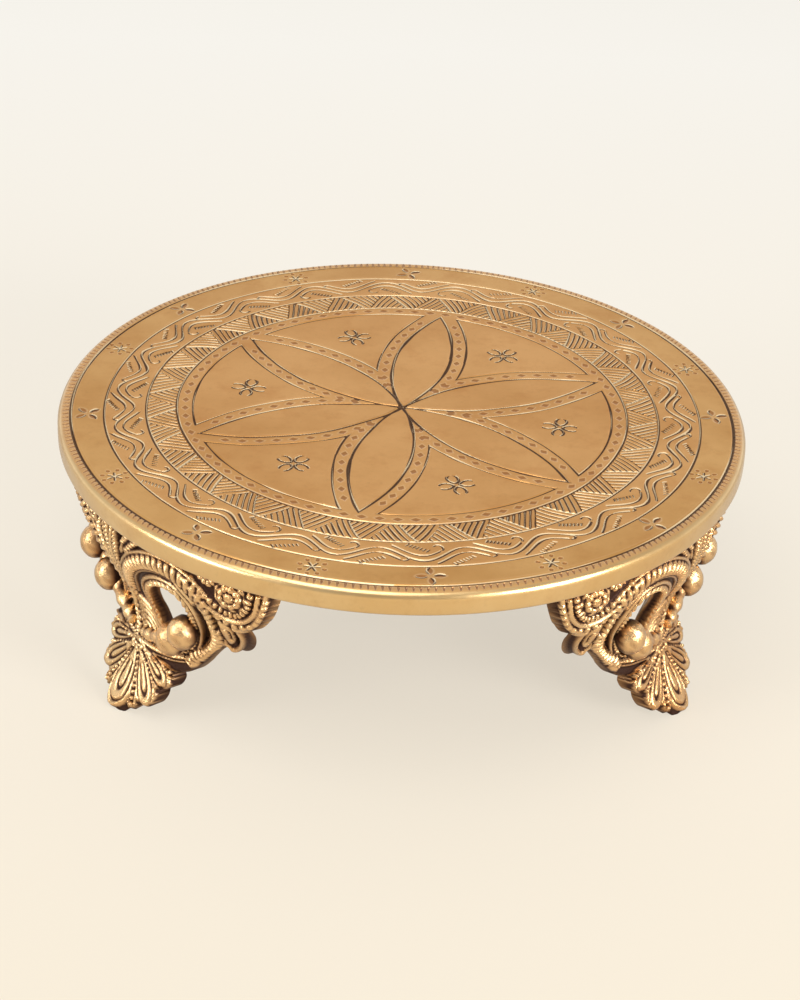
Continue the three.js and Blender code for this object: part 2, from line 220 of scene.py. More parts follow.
class Engraving:
    """The cuts on a grid of points: how deep each point lies, its burr, its nearness to a dark line
    of wax and painted shade and to a painted highlight, and its nearness to a punched pit."""

    def __init__(self, x, y):
        self.steps = []
        for axis in (0, 1):
            step_x, step_y = np.gradient(x, axis=axis), np.gradient(y, axis=axis)
            self.steps.append(step_y / (step_x**2 + step_y**2 + 1e-9))
        self.cut, self.burr, self.groove, self.glint, self.pit = np.zeros((5, *x.shape))

    def keep(self, **found):
        """Each named array keeps the larger of what it has and what is found."""
        for name, values in found.items():
            setattr(self, name, np.maximum(getattr(self, name), values))

    def tilt(self, distance):
        """One where the signed distance grows away from the viewer, minus one where it grows
        towards the viewer, and in between where the line turns past the viewing direction:
        three times its slope along Y, held, from its slopes along the grid's two axes."""
        along_rows, along_columns = np.gradient(distance, axis=0), np.gradient(distance, axis=1)
        slope = along_rows * self.steps[0] + along_columns * self.steps[1]
        return np.clip(3 * slope, -1, 1)

    def line(self, distance, stroke, pressure=1.0, where=1.0, bright=1.0, dark=1.0):
        """A V cut along distance zero: depth times one minus distance over half width, with a
        bell-shaped burr outside it, a painted highlight on its far wall and a wider dark line of wax
        and painted shade on the near wall. Both lines fall evenly to zero at three of their own half
        widths."""
        half_width, depth = stroke[0] * pressure, stroke[1] * pressure
        away = np.abs(distance) / half_width
        tilt = self.tilt(distance) * half_width
        far = np.abs(distance - lit_shift * tilt) / (reach_of_line * lit_width * half_width)
        near = np.abs(distance + shade_shift * tilt) / (reach_of_line * shade_width * half_width)
        bell = np.exp(-(((away - burr_place) / burr_spread) ** 2))
        # The glint line is a painted highlight, and the groove line is wax and painted shade.
        self.keep(cut=depth * held(1 - away) * where, burr=burr_height * bell * where,
                  glint=held(1 - far) * where * bright, groove=held(1 - near) * where * dark)

    def punch(self, share, depth):
        """A pit whose share runs from one in its middle to zero at its edge and on below zero
        outside: its floor is flat and its sides are steep."""
        # A pit's nearness gives its brown fill and a painted highlight round its lip.
        self.keep(cut=depth * held(share * 2.5), pit=held((share + 1) / 2))

    def height(self):
        """Height against the plain surface: minus the cut, or the burr where nothing is cut."""
        return np.where(self.cut > 0.02, -self.cut, self.burr)

    def coats(self, before=0, after=0):
        """What the material needs, with the first and last rows repeated for the skirts."""
        return {name: np.pad(getattr(self, name), ((before, after), (0, 0)), mode="edge")
                for name in ("groove", "glint", "pit")}


# %% [markdown]
# ## Layout of the top
# The top is marked out with compasses: a milled edge, a plain rim band with small stars and
# flowers, a band of waves, a band of hatched triangles, and a six-petal rosette. The radii
# follow the turned circles of the CAD plate. Azimuths run from the front towards the right.

# %% Sizes of the top, in millimetres
edge_line = plate_radius - 5
wave_outer = edge_line - 12
hatch_outer = wave_outer - 15.2
field_radius = hatch_outer - 11.6
petal_radius = field_radius - 5.7
petal_turn = math.radians(-10)
swell = 0.04
surface = table_height - burr_height - swell
skirt = 1.2
stroke_end = 0.4
circle_radii = (field_radius, hatch_outer, wave_outer, edge_line)
circle_stroke, edge_stroke = (0.6, 0.5), (0.75, 0.55)


def spread(radius, azimuth):
    """Points on the top at a radius and an azimuth from the front: x is radius times sine,
    y is minus radius times cosine."""
    return radius * np.sin(azimuth), -radius * np.cos(azimuth)


def around(x, y, radius, azimuth):
    """Distances from a place on the top: along its own radius, and round the table."""
    place_x, place_y = spread(radius, azimuth)
    return turned(x - place_x, y - place_y, azimuth - math.pi / 2)


def right_round(columns):
    """Even azimuths right round the table, as one row."""
    return np.linspace(0, math.tau, columns, endpoint=False)[None, :]


def ends(room):
    """One along a stroke, fading to zero over the last of the room that is left."""
    return held(room / stroke_end)


def compass_circle(cuts, radius, azimuth, circle, stroke=circle_stroke, where=1.0, bright=1.0):
    """A compass circle as a hand cuts it: its radius plus two small waves round it."""
    seed = 1 + circle_radii.index(circle)
    wavy = circle + 0.22 * np.sin(3 * azimuth + seed) + 0.12 * np.sin(8 * azimuth + 2 * seed)
    cuts.line(radius - wavy, stroke, 1.0, where, bright)


# %% [markdown]
# All bands of the top are made alike: a ring of points, a function that cuts it, and a skirt at
# both edges. So one function makes them all, and is handed the function that does the cutting.

# %% Pieces of the top
def top_piece(*made):
    """A piece that replaces the CAD plate."""
    return stand_in("top_plate", "plate_brass", *made)


def top_points(x, y, cuts):
    """Points of the top: the surface, a slow swell and the height of the engraving."""
    z = surface - swell + swell * wander(x, y, 60, 3) + cuts.height()
    return np.stack([x, y, z], axis=-1)


def band(name, inner, outer, rows, columns, engrave):
    """A ring of the top with points in rows from the inside out, cut by the engrave function,
    with a skirt turned down at both edges so that no light passes between neighbours."""
    radius = np.linspace(inner, outer, rows)[:, None]
    radius, azimuth = np.broadcast_arrays(radius, right_round(columns))
    x, y = spread(radius, azimuth)
    cuts = Engraving(x, y)
    engrave(cuts, x, y, radius, azimuth)
    points = np.pad(top_points(x, y, cuts), ((1, 1), (0, 0), (0, 0)), mode="edge")
    points[[0, -1], :, 2] -= skirt
    return top_piece(name, points, grid_faces(rows + 2, columns, True), cuts.coats(1, 1))


print("bands at", circle_radii, "mm, petals to", petal_radius, "mm")

# %% [markdown]
# ## The rosette
# Six arcs of the ring's own radius, struck from the six petal tips, draw the petals: a petal is
# where two such discs overlap. A second line runs outside each petal and along the ring, so that
# six curved triangles are left, and the borders between hold a row of diamond punches. To cut
# them, each point of the top only needs its distance from the six tips.

# %% Rosette
diamond_step = 6.2
diamond_half_length, diamond_half_width, diamond_depth = 2.0, 1.4, 0.26
first_diamond, last_diamond = math.radians(13), math.radians(53)
loop_bright = 0.93
arc_middle = (petal_radius + field_radius) / 2
loops_radius = 0.463 * plate_radius
loop_reach, loop_half_length, loop_half_width, loop_gap = 4.3, 3.1, 1.95, 0.7
petal_stroke, panel_stroke, loop_stroke = (0.62, 0.5), (0.55, 0.42), (0.6, 0.34)
deep_shade = 1.15


def diamonds(cuts, along, across):
    """Pointed punch marks: the share falls evenly to zero on a diamond round each place."""
    share = 1 - np.abs(along) / diamond_half_length - np.abs(across) / diamond_half_width
    cuts.punch(share, diamond_depth)


def diamond_row(cuts, x, y, tip, away):
    """Diamond punches along both halves of the border outside one tip's arc. An angle at the
    tip, from the table's centre, gives the place along the arc."""
    angle = np.arctan2(y - tip[1], x - tip[0]) - math.atan2(-tip[1], -tip[0])
    angle = np.abs((angle + math.pi) % math.tau - math.pi) - first_diamond
    step = diamond_step / arc_middle
    last = math.floor((last_diamond - first_diamond) / step)
    diamonds(cuts, from_nearest(angle, step, last) * arc_middle, away - arc_middle)


def loops(cuts, along, across):
    """Four open loops in a cross round a point, each a lens of two arcs that stops short of
    its tip. along and across are distances from the middle on the loop's own axes."""
    bow = (loop_half_length**2 + loop_half_width**2) / (2 * loop_half_width)
    offset = bow - loop_half_width
    for turn in range(4):
        outward, aside = turned(along, across, turn * math.pi / 2)
        outward = outward - loop_reach
        lens = np.maximum(np.hypot(outward, aside - offset), np.hypot(outward, aside + offset))
        shown = ends(loop_half_length - loop_gap - outward)
        cuts.line(lens - bow, loop_stroke, 1.0, shown, loop_bright, deep_shade)


def rosette(cuts, x, y, radius, azimuth):
    """The engraving of the middle field, from each point's distance to the six petal tips."""
    unsteady = 0.25 * wander(x, y, 35, 11)
    tips = [spread(petal_radius, petal_turn + k * math.tau / 6) for k in range(6)]
    away = [np.hypot(x - tip_x, y - tip_y) + unsteady for tip_x, tip_y in tips]
    pressure = 1 + 0.22 * wander(x, y, 18, 5)
    # How strong the strokes' painted highlights are, in slow patches.
    painted_shine = held(0.85 + 0.25 * wander(x, y, 55, 6))
    for k in range(6):
        petal = np.maximum(away[k - 1], away[(k + 1) % 6]) - petal_radius
        cuts.line(petal, petal_stroke, pressure, 1.0, painted_shine, deep_shade)
        panel = field_radius - np.minimum(away[k - 1], away[(k + 2) % 6])
        panel = np.maximum(panel, radius - petal_radius)
        cuts.line(panel, panel_stroke, pressure, 1.0, painted_shine)
        middle = petal_turn + (k + 0.5) * math.tau / 6
        loops(cuts, *around(x, y, loops_radius, middle))
        diamond_row(cuts, x, y, tips[k], away[k])
    step = math.tau / round(math.tau * arc_middle / diamond_step)
    diamonds(cuts, from_nearest(azimuth, step) * radius, radius - arc_middle)
    compass_circle(cuts, radius, azimuth, field_radius)


# %% [markdown]
# A round field made of rings would crowd its points at the centre. A square grid folded onto the
# disc keeps them even: each square ring of the grid becomes a circle, and the place along the
# square's side becomes the angle.

# %% Middle field of the top
core_radius, petals_end = 44, 66
core_cells = 250
field_cell = 0.36


def disc_grid(radius, cells):
    """A square grid of cells folded onto a disc, area for area. The larger of the two
    coordinates is the radius, and their ratio times an eighth of a turn is the angle."""
    side = np.linspace(-1, 1, cells + 1)
    across, up = np.meshgrid(side, side, indexing="xy")
    wide = np.abs(across) > np.abs(up)
    safe_across, safe_up = np.where(across == 0, 1, across), np.where(up == 0, 1, up)
    angle = np.where(wide, up / safe_across * math.pi / 4,
                     math.pi / 2 - across / safe_up * math.pi / 4)
    reach = np.where(wide, across, up)
    return reach * np.cos(angle) * radius, reach * np.sin(angle) * radius


def core_piece():
    """The disc in the middle, as one folded square grid seen from above."""
    x, y = disc_grid(core_radius, core_cells)
    cuts = Engraving(x, y)
    rosette(cuts, x, y, np.hypot(x, y), np.arctan2(x, -y))
    quads = grid_faces(core_cells + 1, core_cells + 1, False)[:, ::-1]
    return top_piece("rosette_core", top_points(x, y, cuts), quads, cuts.coats())


def petal_ring(name, inner, outer):
    """One ring of the rosette, with points a fixed distance apart."""
    rows = round((outer - inner) / field_cell) + 1
    columns = round(math.tau * outer / field_cell / 60) * 60
    return band(name, inner, outer, rows, columns, rosette)


field = [core_piece(), petal_ring("rosette_petals", core_radius, petals_end),
         petal_ring("rosette_border", petals_end, field_radius)]

# %% [markdown]
# ## The hatched band
# Two families of parallel chisel strokes meet in a zigzag. One family leans left and the other
# right, so each stroke is a line where a skewed coordinate is a whole number. The zigzag's full
# strokes decide which family a point belongs to.

# %% Hatched band
hatch_periods, strokes_in_period, lean = 30, 8, 3
hatch_stroke, zigzag_stroke = (0.58, 0.36), (0.62, 0.46)
hatch_bright, hatch_margin = 0.9, 0.07


def hatch(cuts, x, y, radius, azimuth):
    """Strokes at whole numbers of position plus or minus lean times height, where position
    counts strokes round the band and height runs from zero inside to one outside."""
    strokes = hatch_periods * strokes_in_period
    height = (radius - field_radius) / (hatch_outer - field_radius)
    position = azimuth / math.tau * strokes + 0.18 * wander(x, y, 22, 21)
    place = (position - lean * height) % strokes_in_period
    leans_back = place + 2 * lean * height < strokes_in_period - 1
    skew = position + np.where(leans_back, lean, -lean) * height
    stroke_step = math.tau * radius / strokes
    slope = lean * stroke_step / (hatch_outer - field_radius)
    distance = from_nearest(skew, 1) * stroke_step / math.sqrt(1 + float(np.mean(slope)) ** 2)
    margin = held(np.minimum(height, 1 - height) / hatch_margin)
    cuts.line(distance, hatch_stroke, 1 + 0.25 * wander(x, y, 9, 22), margin, hatch_bright)
    zigzag = np.minimum(place, strokes_in_period - place) * stroke_step
    cuts.line(zigzag, zigzag_stroke, 1.0, margin)
    for circle in (field_radius, hatch_outer):
        compass_circle(cuts, radius, azimuth, circle)


hatched = band("hatched_band", field_radius, hatch_outer, 39, 1980, hatch)

# %% [markdown]
# ## The band of waves
# One sine curve runs round the band. In each hollow, above and below, a second line follows it
# through the bend and curls up at its end: outwards above, inwards below. A row of short strokes
# fills the hollow like the barbs of a feather. The lower hollows mirror the upper ones, so one
# function cuts both.

# %% Band of waves
wave_count, wave_swing = 22, 3.7
wave_middle = (wave_outer + hatch_outer) / 2 + 0.3
wave_length = math.tau * wave_middle / wave_count
first_crest = 0.31 * wave_length
line_apart, line_start = 3.1, -0.38 * wave_length
curl_turn = math.radians(210)
feather_x, feather_y, feather_heading = -5.2, 6.0, math.radians(-29)
barb_step, last_barb, barb_half, barb_slant = 1.3, 6, 1.25, 0.25
wave_stroke, second_stroke = (0.7, 0.48), (0.64, 0.44)
curl_stroke, barb_stroke = (0.58, 0.4), (0.5, 0.34)
upper_end, upper_curl_radius = 0.26 * wave_length, 1.2
lower_end, lower_curl_radius = 0.22 * wave_length, 1.8
barb_bright = 1.1


def bend(along):
    """Height and slope of the wave at a hollow, with along measured from its lowest point."""
    turn = math.tau / wave_length
    return -wave_swing * np.cos(along * turn), wave_swing * turn * np.sin(along * turn)


def hollow(cuts, along, up, pressure, end, curl, curl_radius):
    """The filling of one hollow: a line parallel to the wave up to the given end, then a curl
    of the given radius, a circle that the line touches, on its left where curl is one and on
    its right where it is minus one. The barbs cross a slanting line at even steps."""
    wave, slope = bend(along)
    second = (up - line_apart - wave) / np.sqrt(1 + slope**2)
    cuts.line(second, second_stroke, pressure, ends(np.minimum(along - line_start, end - along)))
    end_height, end_slope = bend(end)
    heading = math.atan(end_slope)
    away_x = along - end + curl * curl_radius * math.sin(heading)
    away_y = up - line_apart - end_height - curl * curl_radius * math.cos(heading)
    angle = curl * (np.arctan2(away_y, away_x) - heading) + math.pi / 2
    shown = held((curl_turn - angle % math.tau) / 0.2)
    cuts.line(np.hypot(away_x, away_y) - curl_radius, curl_stroke, pressure, shown)
    run, off = turned(along - feather_x, up - feather_y, feather_heading)
    barb = from_nearest(run, barb_step, last_barb) - barb_slant * off
    cuts.line(barb, barb_stroke, pressure, held((barb_half - np.abs(off)) / 0.3), barb_bright)


def waves(cuts, x, y, radius, azimuth):
    """The engraving of the wave band: the wave, its hollows and the circles on both sides."""
    up = radius - wave_middle + 0.25 * wander(x, y, 30, 31)
    run = azimuth * wave_middle - first_crest + 0.5 * wander(x, y, 45, 32)
    pressure = 1 + 0.25 * wander(x, y, 12, 33)
    from_trough = run % wave_length - wave_length / 2
    from_crest = (run + wave_length / 2) % wave_length - wave_length / 2
    wave, slope = bend(from_trough)
    cuts.line((up - wave) / np.sqrt(1 + slope**2), wave_stroke, pressure)
    hollow(cuts, from_trough, up, pressure, upper_end, -1, upper_curl_radius)
    hollow(cuts, from_crest, -up, pressure, lower_end, 1, lower_curl_radius)
    for circle in (hatch_outer, wave_outer):
        compass_circle(cuts, radius, azimuth, circle)


waved = band("wave_band", hatch_outer, wave_outer, 45, 1980, waves)

# %% [markdown]
# ## The rim band
# The plain band outside the waves carries small stars of six chiselled arms with a ring of
# dots, in turn with four-petalled flowers pressed in with a lens-shaped punch. A table of
# azimuths in degrees places them, as the maker did by eye.

# %% Rim band
star_azimuths = (26.5, 68.8, 110.5, 153.8, 203.5, 251.2, 301, 346.3)
flower_azimuths = (5.8, 49, 91.5, 132, 180, 230.5, 277.5, 324.5)
motif_radius = 0.912 * plate_radius
arm_half, dots_radius, dot_radius = 3.3, 4.4, 0.95
petal_place, petal_half, petal_half_width = 3.1, 2.35, 1.1
dot_depth, petal_depth = 0.4, 0.3
arm_stroke, crescent_stroke = (0.58, 0.38), (0.58, 0.32)


def star(cuts, outward, aside, turn):
    """Three crossing strokes and eight dots on a circle round them."""
    for arm in range(3):
        along, across = turned(outward, aside, turn + arm * math.pi / 3)
        cuts.line(across, arm_stroke, 1.0, ends(arm_half - np.abs(along)))
    angle = from_nearest(np.arctan2(aside, outward) - turn, math.tau / 8)
    reach = np.hypot(outward, aside)
    dot = np.hypot(reach * np.cos(angle) - dots_radius, reach * np.sin(angle) * 1.2)
    cuts.punch(1 - dot / dot_radius, dot_depth)


def flower(cuts, outward, aside, turn):
    """Four lens-shaped punches in a cross, brown inside, with a crescent cut along one side that
    carries a painted highlight: the lens is a parabola, one minus the squared share of its half
    length."""
    for petal in range(4):
        along, across = turned(outward, aside, turn + petal * math.pi / 2)
        along = along - petal_place
        lens = 1 - (along / petal_half) ** 2
        cuts.punch((lens - np.abs(across) / petal_half_width) * 0.6, petal_depth)
        cuts.line(across - lens, crescent_stroke, 1.0, ends(petal_half - np.abs(along)))


def edge_circle(cuts, radius, azimuth, where=1.0):
    """The circle beside the milled edge, whose painted highlight on the far wall is strong in patches.
    """
    painted_shine = held(0.85 + 0.4 * wander(plate_radius * azimuth, 0, 130, 44))
    compass_circle(cuts, radius, azimuth, edge_line, edge_stroke, where, painted_shine)


def rim(cuts, x, y, radius, azimuth):
    """The engraving of the rim band, between the wave band and the milled edge."""
    for k in range(8):
        place = math.radians(star_azimuths[k])
        star(cuts, *around(x, y, motif_radius, place), 0.3 + 0.5 * k)
        place = math.radians(flower_azimuths[k])
        flower(cuts, *around(x, y, motif_radius, place), 0.1 * k)
    compass_circle(cuts, radius, azimuth, wave_outer)
    edge_circle(cuts, radius, azimuth)


rimmed = band("rim_band", wave_outer, edge_line, 41, 2100, rim)

# %% [markdown]
# ## The milled edge
# Outside its line the top rolls over into the rim. A coin-like row of notches runs round the
# roll: each notch is a wedge, wide inside and narrow outside. The roll itself is a profile,
# carried round the table: a corner arc, a slightly full side, a foot and the inner wall.

# %% Milled edge
notch_count, columns_per_notch = 307, 8
mill_start, mill_end = edge_line + 0.45, edge_line + 2.9
notch_depth = 0.4
notch_shift, notch_drift, notch_uneven, notch_taper = 0.16, 0.35, 0.12, 1.5
row_start_fade, row_end, row_end_fade = 0.18, 1.12, 0.2
side_dip, top_fade, level_above = 0.035, 0.4, 0.6
rim_height = plate_high[2] - plate_low[2]
rim_width = 5
corner, foot_corner = 2.9, 1.2
side_radius = plate_radius - 0.1
side_swell = 0.07
top_bevel = 0.8
narrow_notch, wide_notch = 0.4, 0.86
sharp_rim = 70


def arc(centre_r, centre_z, radius, start, end, count):
    """Points of a quarter or less of a circle in the profile plane, angles in degrees."""
    angle = np.radians(np.linspace(start, end, count))
    return np.stack([centre_r + radius * np.cos(angle), centre_z + radius * np.sin(angle)], axis=1)


def rim_profile():
    """Radius and height of the rim from the engraved line, over the edge, to the inner wall's
    top. The side between the two corner arcs swells by half a sine wave."""
    bottom = table_height - rim_height
    flat = np.linspace(edge_line, plate_radius - corner, 11)[:-1]
    top = np.stack([flat, np.full_like(flat, surface)], axis=1)
    round_top = arc(side_radius - corner, surface - corner, corner, 90, 8, 12)
    low, high = bottom + foot_corner, round_top[-1, 1]
    share = np.linspace(0, 1, 7)[1:-1]
    side = np.stack([side_radius + side_swell * np.sin(math.pi * share),
                     high + (low - high) * share], axis=1)
    foot = arc(side_radius - foot_corner, low, foot_corner, 0, -90, 6)
    inner = plate_radius - rim_width
    under = np.array([[inner + 1.0, bottom], [inner + 0.3, bottom + 0.2], [inner, bottom + 0.8],
                      [inner, leg_height - 0.6], [inner - top_bevel, leg_height]])
    return np.concatenate([top, round_top, side, foot, under])


def milled_edge():
    """The rim carried round the table. In the milled row the height drops where the place
    within a notch is nearer its middle than a half width that narrows outwards."""
    profile = rim_profile()
    columns = notch_count * columns_per_notch
    azimuth = right_round(columns)
    radius, height = profile[:, :1] + 0 * azimuth, profile[:, 1:] + 0 * azimuth
    round_run = plate_radius * azimuth
    on_top = held((height - (surface - corner)) / top_fade)
    out = (radius - mill_start) / (mill_end - mill_start)
    place = azimuth / math.tau * notch_count + notch_shift * wander(round_run, radius, 21, 41)
    place = place + notch_drift * np.sin(azimuth * 2) * out
    aside = np.abs(place % 1 - 0.5) * math.tau * plate_radius / notch_count
    half = narrow_notch + (wide_notch - narrow_notch) * held(1 - notch_taper * out)
    inside = held(out / row_start_fade) * held((row_end - out) / row_end_fade)
    uneven = notch_uneven * wander(round_run, radius, 13, 42)
    cuts = Engraving(*spread(radius, azimuth))
    # The teeth's edges beside each notch get the painted highlight of a pit's lip.
    cuts.punch((1 - aside / half + uneven) * inside - 3 * (1 - inside * on_top), notch_depth)
    edge_circle(cuts, radius, azimuth, on_top)
    height = height - cuts.cut
    dip = side_dip * (1 + wander(round_run, 3 * height, 50, 43)) * (1 - on_top)
    x, y = spread(radius - dip, azimuth)
    points = np.pad(np.stack([x, y, height], axis=-1), ((1, 0), (0, 0), (0, 0)), mode="edge")
    points[0, :, 2] -= skirt
    profile_height = np.pad(profile[:, 1:], ((1, 0), (0, 0)), mode="edge")
    level = held((profile_height - surface + level_above) / top_fade)
    coats = {**cuts.coats(1), "level": level + 0 * azimuth}
    return top_piece("milled_edge", points, grid_faces(len(points), columns, True), coats,
                     sharp_rim)


edge = milled_edge()

# %% [markdown]
# ## The underside
# Nobody polishes the underside of a cast plate. It keeps the grain of the sand mould, and six
# low round bosses stand where the legs are screwed on. It is one disc whose height drops by the
# boss height near each screw, so the bosses need no pieces of their own.

# %% Underside
screw_places = [sum(box_mm(name))[:2] / 2 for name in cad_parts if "screw" in name]
boss_radius, boss_height, fillet = 7, 3.5, 0.9
mould_grain, grain_end = 0.08, 4
under_wax, under_wax_change = 0.35, 0.25


def underside():
    """A disc seen from below: the plate's underside, less the boss height within each boss,
    with a short slope at its edge and a fine casting grain."""
    rows, columns = 90, 480
    inner_wall = plate_radius - rim_width - top_bevel
    radius = np.linspace(0, inner_wall, rows)[:, None]
    x, y = spread(radius, right_round(columns))
    boss = np.zeros_like(x)
    for place_x, place_y in screw_places:
        boss = np.maximum(boss, held((boss_radius - np.hypot(x - place_x, y - place_y)) / fillet))
    grain = mould_grain * np.abs(wander(x, y, 7, 51)) * held((inner_wall - radius) / grain_end)
    height = leg_height - boss * boss_height + grain * (1 - boss)
    wax = under_wax + under_wax_change * wander(x, y, 40, 52)
    return top_piece("plate_underside", np.stack([x, y, height], axis=-1),
                     grid_faces(rows, columns, True)[:, ::-1], {"patina": wax})


plate_under = underside()
print(len(screw_places), "bosses under the plate")

# %% [markdown]
# ## The legs
# Each leg is one casting: a bracket whose wall follows the rim, pierced and covered in relief.
# A mould only lets such a piece out if nothing is undercut, so the front can be a height above
# the wall at each point of a flat drawing, and that is how it is made here. The drawing uses
# shares of the leg's half span and height. The wall is the one of the CAD leg.

# %% Wall of a leg, in the leg's own frame: X points out through its middle
wall = 6
leg_top_radius = plate_radius - rim_width - 0.5
waist_radius = leg_top_radius - 13.5
toe_radius = leg_top_radius + 0.6
shoulder = leg_height - 12
waist = 34
flare = 1.6
half_span = 73
mean_radius = 114
toe_half = 4.5


def wall_radius(height):
    """Outer radius of the wall: full at the top, half a cosine wave in to the waist, and out
    to the toe by a power of the depth below the waist."""
    down = held((height - waist) / (shoulder - waist))
    upper = waist_radius + (leg_top_radius - waist_radius) * (1 - np.cos(math.pi * down)) / 2
    lower = waist_radius + (toe_radius - waist_radius) * held(1 - height / waist) ** flare
    return np.where(height >= waist, upper, lower)


def drawn(shares):
    """Places of the drawing in millimetres, across the leg and up, from shares."""
    return np.array(shares) * np.array([half_span, leg_height])


def unrolled(across, height):
    """Distance along the curved wall that belongs to a place across the leg."""
    return mean_radius * np.arcsin(np.clip(across / wall_radius(height), -1, 1))


def smooth(points, steps, closed=False):
    """A Catmull-Rom curve through the points: each span is a cubic in its four neighbours."""
    points = np.asarray(points, float)
    if closed:
        padded = np.concatenate([points[-1:], points, points[:2]])
    else:
        first, last = 2 * points[0] - points[1], 2 * points[-1] - points[-2]
        padded = np.concatenate([[first], points, [last]])
    t = np.linspace(0, 1, steps, endpoint=False)[None, :, None]
    a, b, c, d = (padded[i : len(padded) - 3 + i, None, :] for i in range(4))
    spans = 0.5 * (2 * b + (c - a) * t + (2 * a - 5 * b + 4 * c - d) * t**2
                   + (3 * b - a - 3 * c + d) * t**3)
    curve = spans.reshape(-1, points.shape[1])
    return curve if closed else np.concatenate([curve, points[-1:]])


# %% [markdown]
# The outline is a row of lobes that meet at notches, and each wing has a pear-shaped opening and
# two slots beside its ribbed arm. The distance to these borders does three jobs: its sign cuts
# the sheet, its nearest border point pulls the sheet's ragged edge smooth, and its size rounds
# the edges and places the rims that run along them.

# %% Outline and openings of a leg, as shares
outline_shares = (
    ((1, 1), (0.997, 0.904), (0.965, 0.808), (0.9, 0.728), (0.819, 0.678)),
    ((0.819, 0.678), (0.813, 0.634), (0.78, 0.579), (0.736, 0.534), (0.695, 0.512),
     (0.668, 0.516), (0.659, 0.54)),
    ((0.659, 0.54), (0.565, 0.47), (0.472, 0.373), (0.387, 0.298), (0.285, 0.26)),
    ((0.285, 0.26), (0.318, 0.232), (0.301, 0.19), (0.242, 0.175)),
    ((0.242, 0.175), (0.258, 0.13), (0.234, 0.09), (0.162, 0.084)),
    ((0.162, 0.084), (0.152, 0.052), (0.121, 0.041), (0.093, 0.052)),
    ((0.093, 0.052), (0.087, 0.02), (toe_half / half_span, 0)),
)
opening_shares = (
    (0.214, 0.478), (0.223, 0.571), (0.289, 0.678), (0.394, 0.746), (0.486, 0.757),
    (0.525, 0.714), (0.504, 0.633), (0.444, 0.52), (0.372, 0.424), (0.296, 0.391),
    (0.237, 0.414),
)
slot_shares = (
    (((0.625, 0.77), (0.617, 0.682), (0.57, 0.581), (0.5, 0.484)), 0.017),
    (((0.707, 0.768), (0.694, 0.69), (0.668, 0.632)), 0.014),
)


def slot_border(path, wide_share):
    """A crescent: the slot's curve moved to both sides by its width times half a sine wave."""
    curve = smooth(drawn(path), 6)
    run = unit(np.gradient(curve, axis=0))
    swelling = wide_share * half_span * np.sin(np.linspace(0, math.pi, len(curve)))[:, None]
    aside = np.stack([-run[:, 1], run[:, 0]], axis=1) * swelling
    return np.concatenate([curve + aside, (curve - aside)[::-1]])


right_side = np.concatenate([smooth(drawn(row), 8)[:-1] for row in outline_shares]
                            + [drawn(outline_shares[-1][-1:])])
outline = np.concatenate([right_side, right_side[::-1] * np.array([-1, 1])])
opening = smooth(drawn(opening_shares), 6, closed=True)
holes = [opening] + [slot_border(path, wide) for path, wide in slot_shares]


# %% [markdown]
# Two things are asked of every grid point: how far it is from a drawn line, and whether it lies
# inside a closed one. Both answers go through the line's straight stretches one by one, and take
# all the points at once as arrays.

# %% Distances to drawn lines
def nearest(across, height, border, closed=True):
    """For each point, the distance to a line of straight stretches, the length along it at the
    nearest place, the two numbers of that place, and the side: one on the left of the line,
    minus one on its right. It goes through the stretches, and keeps the nearest so far."""
    stops = np.concatenate([border[1:], border[:1]]) if closed else border[1:]
    best = np.full((5, *across.shape), np.inf)
    travelled = 0.0
    for start, stop in zip(border, stops):
        run = stop - start
        length = float(np.hypot(*run))
        if length == 0:
            continue
        away_x, away_z = across - start[0], height - start[1]
        share = held((away_x * run[0] + away_z * run[1]) / length**2)
        at_x, at_z = start[0] + share * run[0], start[1] + share * run[1]
        distance = np.hypot(across - at_x, height - at_z)
        side = np.where(run[0] * away_z - run[1] * away_x >= 0, 1.0, -1.0)
        here = np.stack([distance, travelled + share * length, at_x, at_z, side])
        best = np.where(distance < best[0], here, best)
        travelled += length
    return best


def within(across, height, border):
    """Whether each point lies inside a closed border: a level ray from it crosses the border an
    odd number of times."""
    inside = np.zeros(across.shape, bool)
    for start, stop in zip(border, np.concatenate([border[1:], border[:1]])):
        spans = (start[1] > height) != (stop[1] > height)
        rise = stop[1] - start[1]
        crossing = start[0] + (height - start[1]) / (rise if rise else 1) * (stop[0] - start[0])
        inside ^= spans & (across < crossing)
    return inside


# %% [markdown]
# The sheet is a grid over the whole drawing. Squares that lie wholly outside are dropped, and
# grid points just outside the border are moved onto it, so the cut edge is smooth without any
# boolean. One half is worked out and mirrored by using the absolute distance from the middle.

# %% Grid of a leg's drawing
mesh_step = 0.41
columns_across = 2 * round(half_span / mesh_step) + 1
rows_up = round(leg_height / mesh_step) + 1


def sheet():
    """Across and height of the grid after its edge is pulled onto the border, the distance
    inside the border, and the squares that are kept."""
    across, height = np.meshgrid(np.linspace(-half_span, half_span, columns_across),
                                 np.linspace(0, leg_height, rows_up), indexing="xy")
    half = np.abs(across)
    distance, _, *pull, _ = nearest(half, height, right_side, closed=False)
    solid = within(half, height, outline) | ((height >= leg_height) & (half < half_span))
    depth = np.where(solid, distance, -distance)
    for hole in holes:
        distance, _, *hole_pull, _ = nearest(half, height, hole)
        signed = np.where(within(half, height, hole), -distance, distance)
        pull = np.where(signed < depth, hole_pull, pull)
        depth = np.minimum(signed, depth)
    across = np.where(depth <= 0, np.sign(across) * pull[0], across)
    height = np.where(depth <= 0, pull[1], height)
    squares = grid_faces(rows_up, columns_across, False)
    kept = squares[(depth.ravel()[squares] > 0).any(axis=1)]
    return across, height, np.clip(depth, 0, None), kept[:, ::-1]


across, height, depth, squares = sheet()
print("leg drawing", across.shape, "points,", len(squares), "squares kept")

